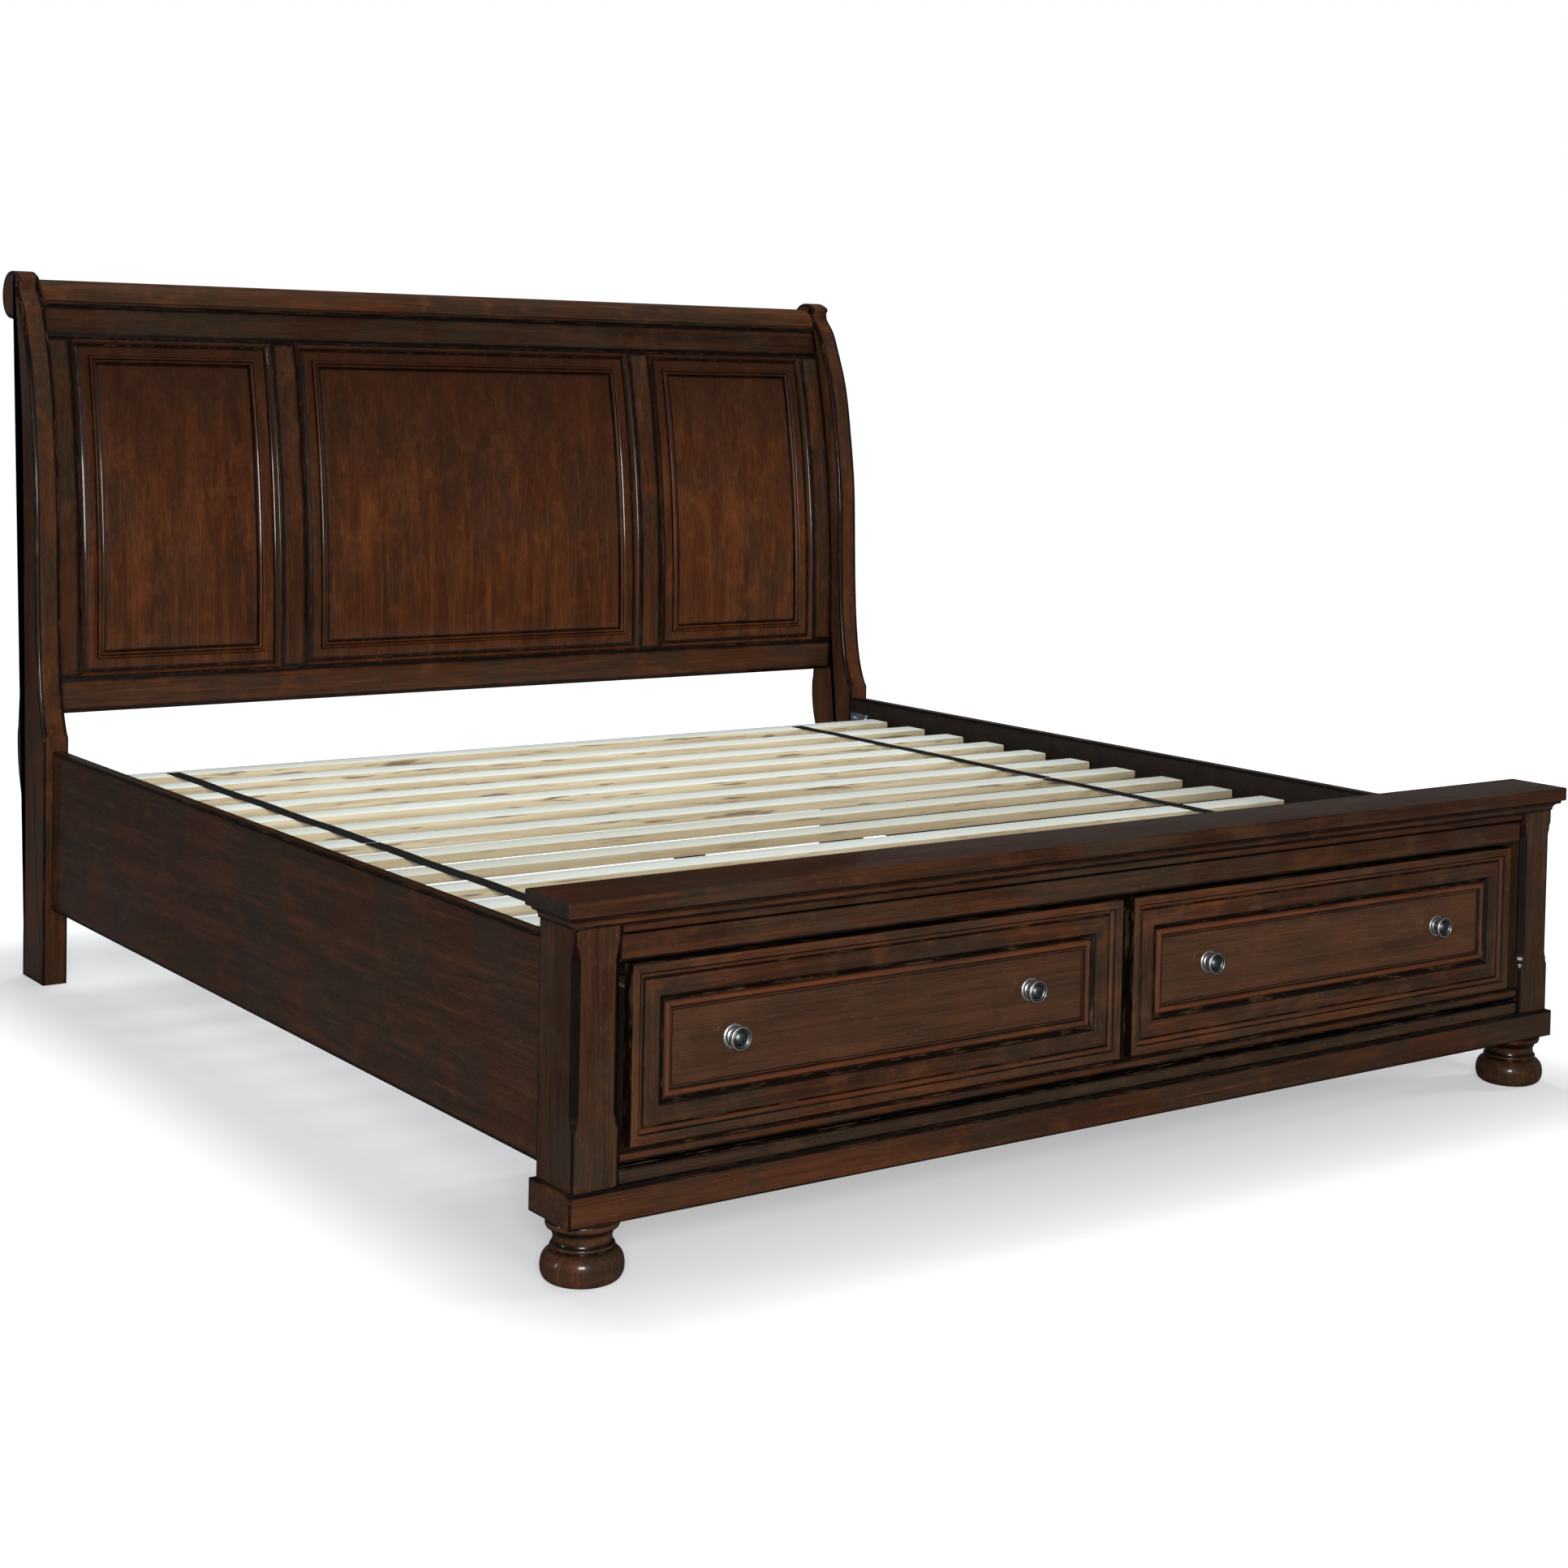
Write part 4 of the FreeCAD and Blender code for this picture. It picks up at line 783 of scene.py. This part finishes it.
def make_footboard():
    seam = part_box("plinth_front")[1].y

    def at_seam(spot):
        return abs(spot.y - seam) < 2 * MM

    for side in ("left", "right"):
        make_foot_post(side)
        make_bun_foot(side)
        detail("plinth_block_" + side, [WOOD["X"]], 1.0, 8, plain=at_seam)
    make_cove_board()
    # The cap's end faces take the dark wood: painted shade on the ends.
    detail("footboard_cap", [TOP_WOOD_PAINTED_SHADE, DARK_WOOD_AND_PAINTED_SHADE], 1.0, 7,
           second=lambda face: abs(face.normal.x) > 0.7)
    detail("footboard_top_rail", [TOP_WOOD_PAINTED_SHADE], 1.2, 8)
    detail("footboard_back_rail", [DARK_WOOD_AND_PAINTED_SHADE], 1.5, 6)
    detail("footboard_bottom_rail", [WOOD["X"]], 2.0, 6)
    # The recessed strip takes the darker copy as painted shade.
    detail("footboard_strip", [STRIP_WOOD_PAINTED_SHADE], 1.5, 5)
    # The plinth's top faces take the dark matte wood: painted shade along its top edge.
    detail("plinth_front", [WOOD["X"], DARK_WOOD_AND_PAINTED_SHADE], 1.2, 5, 3, plain=at_seam,
           second=lambda face: face.normal.z > 0.6)
    detail("foot_screws", [STEEL], 0.4, 0)


# ------------------------------------------------------------------ drawers
# (distance in from the edge, height, edge value) in mm: sloped rim, step, valley and inner bead.
# The dark values on the step, in the valley and in the groove round the field are painted shade;
# the band between is evenly darkened, and values below 0 are rubbed wear.
DRAWER_PROFILE = [(0, -3.0, 1.0), (0.6, -1.0, 1.0), (1.6, -0.1, 0.3), (3.0, 0.0, 0.0),
                  (12.4, -2.5, -0.2), (14.4, -3.0, 0.9), (15.8, -4.3, 1.0), (17.2, -4.6, 0.2),
                  (18.8, -5.4, -0.6), (21.0, -7.2, -0.6), (22.4, -9.8, 1.0), (24.4, -9.0, 1.0),
                  (25.6, -7.6, 0.6), (29, -7.2, 0.54), (50, -9.0, 0.54), (53.0, -9.4, 1.0),
                  (54.6, -11.0, 1.0), (57.4, -14.0, 1.0), (59.8, -13.4, 1.0),
                  (61.2, -11.2, 0.1), (63.4, -9.6, -0.8), (66.0, -9.2, -0.8),
                  (68.4, -9.8, -0.6), (69.9, -11.4, 0.3), (70.8, -13.4, 1.0),
                  (72.2, -13.6, 0.7), (73.6, -13.8, 0.0), (75.0, -14.3, 0.2)]
PLATE_SPANS = [((0, -0.2), (4, -0.2), (18.6, -0.2), (0.3, 0.3)),
               ((18.6, -0.2), (19, 0), (19, 1.2), (1, 1)),
               ((19, 1.2), (18.4, 2.6), (15.5, 3.0), (0.6, 1)),
               ((15.5, 3.0), (13.6, 3.0), (13, 2.2), (0, 0.5)),
               ((13, 2.2), (11, 4.4), (7.5, 4.3), (0.3, 0.8)),
               ((7.5, 4.3), (4, 4.3), (0, 4.3), (0, 0))]
# from the plate out: neck, flare, rim, and a ringed face with a low dome
KNOB_SPANS = [((0, 4.2), (4, 4.2), (8, 4.2), (-1, -1)),
              ((8, 4.2), (5.2, 7), (6, 10), (-0.4, -1)),
              ((6, 10), (7.5, 13.4), (15.5, 14.3), (-0.3, 0.1)),
              ((15.5, 14.3), (18.6, 15.5), (17.8, 17.8), (0.6, 0.2)),
              ((17.8, 17.8), (17.9, 21.0), (15.7, 20.9), (1, 0.9)),
              ((15.7, 20.9), (15.0, 20.4), (14.9, 18.2), (-0.4, 0.6)),
              ((14.9, 18.2), (13.8, 17.4), (13.2, 19.0), (-1, -0.8)),
              ((13.2, 19.0), (12.6, 20.3), (11.7, 18.9), (0.8, -0.2)),
              ((11.7, 18.9), (11.2, 17.8), (10.7, 19.0), (-0.9, -0.7)),
              ((10.7, 19.0), (7.6, 23.0), (0, 23.2), (-0.1, -0.4))]


def make_knobs(side):
    low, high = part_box(side + "_drawer_knobs")
    radius = (high.z - low.z) / 2
    face_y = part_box(side + "_drawer_panel")[0].y
    centres = [(x, face_y, (low.z + high.z) / 2) for x in (low.x + radius, high.x - radius)]
    for part, spans, steps in (("_drawer_back_plates", PLATE_SPANS, 5),
                               ("_drawer_knobs", KNOB_SPANS, 6)):
        lathe(side + part + "_turned", side + part, rounded(spans, steps), centres, "Y", PEWTER, 56)


def make_drawer(side):
    front = side + "_drawer_front"
    low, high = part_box(front)
    moulded_frame(front, DRAWER_PROFILE, low, high, [WOOD["X"], WOOD["Z"]])
    detail(side + "_drawer_panel", [DRAWER_WOOD], 0.2, 5)
    middle = sum(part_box(side + "_drawer_sides"), Vector()).x / 2

    def is_outer(face):
        away = face.calc_center_median().x - middle
        return face.normal.x * away > 0 and abs(face.normal.x) > 0.5

    # The sides' outer faces, seen in the gaps beside the posts, take the dark wood: painted shade.
    detail(side + "_drawer_sides", [BOX_WOOD, DARK_WOOD_AND_PAINTED_SHADE], 1.0, 3, second=is_outer)
    detail(side + "_drawer_back", [BOX_WOOD], 1.0, 3)
    detail(side + "_drawer_bottom", [BOX_WOOD], 0.3, 2)
    detail(side + "_drawer_runners", [RUNNER], 0.5, 0)
    make_knobs(side)


# ------------------------------------------------------------------ rails, deck and fittings
STRAP_WIDE = 28 * MM


def make_rails():
    for side, toward_middle in (("left", 1), ("right", -1)):
        # Inner faces take the dark wood: a dark inner finish and painted shade.
        detail("side_rail_" + side, [WOOD["Y"], DARK_WOOD_AND_PAINTED_SHADE], 2.0, 10,
               second=lambda face: face.normal.x * toward_middle > 0.7)
        detail("slat_cleat_" + side, [DARK_WOOD_AND_PAINTED_SHADE], 1.5, 6)
        detail("bay_side_" + side, [DARK_WOOD_AND_PAINTED_SHADE], 1.0, 5)
    detail("bay_divider", [DARK_WOOD_AND_PAINTED_SHADE], 1.0, 5)
    detail("bay_back", [DARK_WOOD_AND_PAINTED_SHADE], 1.0, 5)
    detail("drawer_fixed_runners", [RUNNER], 0.5, 0)
    detail("rail_hook_plates", [STEEL], 0.5, 0)
    detail("rail_bolts", [STEEL], 0.8, 0)
    detail("cleat_gussets", [STEEL], 0.4, 0)
    detail("support_legs", [DARK_WOOD_AND_PAINTED_SHADE], 2.0, 6)


def slat_spans(roll):
    """Front and rear edge of every slat in a roll, from the CAD solids."""
    bm = cad_mesh("slats_%s_roll" % roll, whole_faces=False)
    spans = sorted((min(v.co.y for v in solid), max(v.co.y for v in solid))
                   for solid in islands(bm))
    bm.free()
    return spans


def strap_line(spans, top, chooser):
    """Points (y, z) along a strap that lies on the slats and sags between them."""
    over_slat, over_gap = 3, 10
    line = []
    for number, (near, far) in enumerate(spans):
        first, last = number == 0, number == len(spans) - 1
        start = near + (0.012 if first else 0.002)
        end = far - (0.012 if last else 0.002)
        line += [(start + (end - start) * n / over_slat, top) for n in range(over_slat + 1)]
        if not last:
            gap_end = spans[number + 1][0] + 0.002
            sag = 0.0004 * chooser.random()
            line += [(end + (gap_end - end) * n / over_gap,
                      top - sag * (1 - (2 * n / over_gap - 1) ** 2)) for n in range(1, over_gap)]
    return line


def make_straps(roll):
    """Two straps on a roll. Those of the foot roll reach over the head roll's first slat."""
    node = "straps_%s_roll" % roll
    low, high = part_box(node)
    thick, bevel, lift = high.z - low.z, 0.4 * MM, 0.1 * MM
    chooser = random.Random(node)
    spans = slat_spans(roll)
    if roll == "foot":
        spans.append(slat_spans("head")[0])
    piece = Piece()
    for middle in (low.x + STRAP_WIDE / 2, high.x - STRAP_WIDE / 2):
        rings = []
        for number, (y, z) in enumerate(strap_line(spans, low.z, chooser)):
            if y > high.y:
                continue
            drift = 0.0015 * math.sin(number * 0.21 + middle)
            left, right = middle - STRAP_WIDE / 2 + drift, middle + STRAP_WIDE / 2 + drift
            rings.append([piece.point(spot) for spot in (
                (left, y, z + lift), (left + bevel, y, z + thick),
                (right - bevel, y, z + thick), (right, y, z + lift))])
        piece.skin(rings)
    publish(piece.bm, node + "_webbing", node, [STRAP], 50)


def make_deck():
    for roll in ("foot", "head"):
        # Tops take the cool pale wood with painted light; sides the tan ply edges.
        detail("slats_%s_roll" % roll, [SLAT_TOP_PAINTED_LIGHT, SLAT_SIDE], 1.2, 0,
               second=lambda face: abs(face.normal.z) <= 0.7)
        make_straps(roll)


# ------------------------------------------------------------------ stage, light and camera
BED_REACH = (1.0, 1.15, 0.0)    # how far the bed reaches from the middle of the floor
STUDIO_WHITE = (1.0, 1.0, 1.0)
CAMERA_PLACE = (-2.8240, -4.29965, 1.2680)
CAMERA_TURN = (36.013, 2.300, 1.146)    # yaw, pitch down and roll, in degrees
# name, place, target, size, power, colour, seen in shiny surfaces
LIGHTS = (("key", (-3.6, -5.6, 2.2), (0.0, 0.0, 0.6), (1.5, 1.5), 370, STUDIO_WHITE, True),
          ("top", (0.3, 1.5, 5.0), (0.0, 0.0, 0.3), (3.0, 3.0), 230, (0.93, 0.97, 1.0), False),
          ("right", (6.5, -3.2, 2.2), (0.6, -0.4, 0.5), (1.0, 2.0), 240, STUDIO_WHITE, False),
          ("fill", (-2.4, -8.5, 1.1), (0.0, 0.0, 0.4), (2.0, 1.6), 300, STUDIO_WHITE, False),
          ("edge", (-7.0, 0.6, 1.8), (0.0, 0.6, 0.9), (0.30, 2.6), 60, (0.9, 0.96, 1.0), True))


def paper_floor():
    """Pale paper with painted shade round the bed: its glow, seen only by the camera, is low near
    the bed and rises to white further out.
    """
    mat = Shader("floor_paper")
    seen = mat.node("ShaderNodeLightPath")
    paper = mat.blend(seen.outputs["Is Glossy Ray"], (0.80, 0.80, 0.81), (0.10, 0.10, 0.10))
    paper = mat.blend(seen.outputs["Is Camera Ray"], paper, (0.42, 0.42, 0.425))
    mat.link(paper, mat.main.inputs["Base Color"])
    mat.main.inputs["Roughness"].default_value = 0.9
    mat.main.inputs["Specular IOR Level"].default_value = 0.0
    mat.main.inputs["Emission Color"].default_value = (*STUDIO_WHITE, 1.0)
    spot = mat.node("ShaderNodeTexCoord").outputs["Object"]
    for operation, numbers in (("ABSOLUTE", (0, 0, 0)), ("SUBTRACT", BED_REACH),
                               ("MAXIMUM", (0, 0, 0))):
        step = mat.node("ShaderNodeVectorMath", operation=operation)
        step.inputs[1].default_value = numbers
        mat.link(spot, step.inputs[0])
        spot = step.outputs[0]
    reach = mat.node("ShaderNodeVectorMath", operation="LENGTH")
    mat.link(spot, reach.inputs[0])
    # Painted shade: the glow is low beside the bed and nearly full 0.6 m out.
    glow = mat.level(reach.outputs["Value"], 0.0, 0.6, 0.39, 0.97)
    mat.link(mat.sums("MULTIPLY", glow, seen.outputs["Is Camera Ray"]),
             mat.main.inputs["Emission Strength"])
    return mat.material


def make_stage():
    count, radius, below = 96, 60.0, -0.5 * MM
    ring = [(radius * math.cos(2 * math.pi * n / count), radius * math.sin(2 * math.pi * n / count),
             below) for n in range(count)]
    mesh = bpy.data.meshes.new("studio_floor")
    mesh.from_pydata(ring, [], [tuple(range(count))])
    mesh.materials.append(paper_floor())
    floor = bpy.data.objects.new("studio_floor", mesh)
    bpy.context.scene.collection.objects.link(floor)


def make_backdrop():
    """A world that is white to the camera, dim in reflections and soft as light."""
    world = bpy.data.worlds.new("studio")
    bpy.context.scene.world = world
    world.use_nodes = True
    tree = world.node_tree

    def glow(colour, strength):
        made = tree.nodes.new("ShaderNodeBackground")
        made.inputs["Color"].default_value = (*colour, 1.0)
        made.inputs["Strength"].default_value = strength
        return made.outputs[0]

    def mix(factor, first, second):
        made = tree.nodes.new("ShaderNodeMixShader")
        for socket, source in zip(made.inputs, (factor, first, second)):
            tree.links.new(source, socket)
        return made.outputs[0]

    seen = tree.nodes.new("ShaderNodeLightPath").outputs
    unseen = mix(seen["Is Glossy Ray"], glow((0.93, 0.96, 1.0), 0.16), glow(STUDIO_WHITE, 0.10))
    whole = mix(seen["Is Camera Ray"], unseen, glow(STUDIO_WHITE, 1.0))
    tree.links.new(whole, tree.nodes["World Output"].inputs["Surface"])


def make_lights():
    for name, place, target, size, power, colour, mirrored in LIGHTS:
        light = bpy.data.lights.new(name, "AREA")
        light.shape = "RECTANGLE"
        light.size, light.size_y = size
        light.energy = power
        light.color = colour
        lamp = bpy.data.objects.new(name, light)
        lamp.location = place
        aim = Vector(target) - Vector(place)
        lamp.rotation_euler = aim.to_track_quat("-Z", "Y").to_euler()
        lamp.visible_glossy = mirrored
        bpy.context.scene.collection.objects.link(lamp)


def make_camera():
    data = bpy.data.cameras.new("camera")
    data.sensor_fit = "HORIZONTAL"
    data.sensor_width = 36.0
    data.lens = 59.816
    data.shift_x = -0.04348
    data.shift_y = -0.18965
    data.clip_end = 200.0
    camera = bpy.data.objects.new("camera", data)
    bpy.context.scene.collection.objects.link(camera)
    yaw, pitch, roll = (math.radians(angle) for angle in CAMERA_TURN)
    level_right = Vector((math.cos(yaw), -math.sin(yaw), 0.0))
    ahead = Vector((math.sin(yaw) * math.cos(pitch), math.cos(yaw) * math.cos(pitch),
                    -math.sin(pitch)))
    level_down = ahead.cross(level_right)
    right = math.cos(roll) * level_right - math.sin(roll) * level_down
    down = math.sin(roll) * level_right + math.cos(roll) * level_down
    turn = Matrix((right, -down, -ahead)).transposed().to_4x4()
    camera.matrix_world = Matrix.Translation(CAMERA_PLACE) @ turn
    bpy.context.scene.camera = camera


make_camera()
make_headboard()
make_footboard()
for drawer_side in ("left", "right"):
    make_drawer(drawer_side)
make_rails()
make_deck()
make_stage()
make_backdrop()
make_lights()
bpy.context.scene.view_settings.view_transform = "Standard"
bpy.context.scene.view_settings.look = "None"
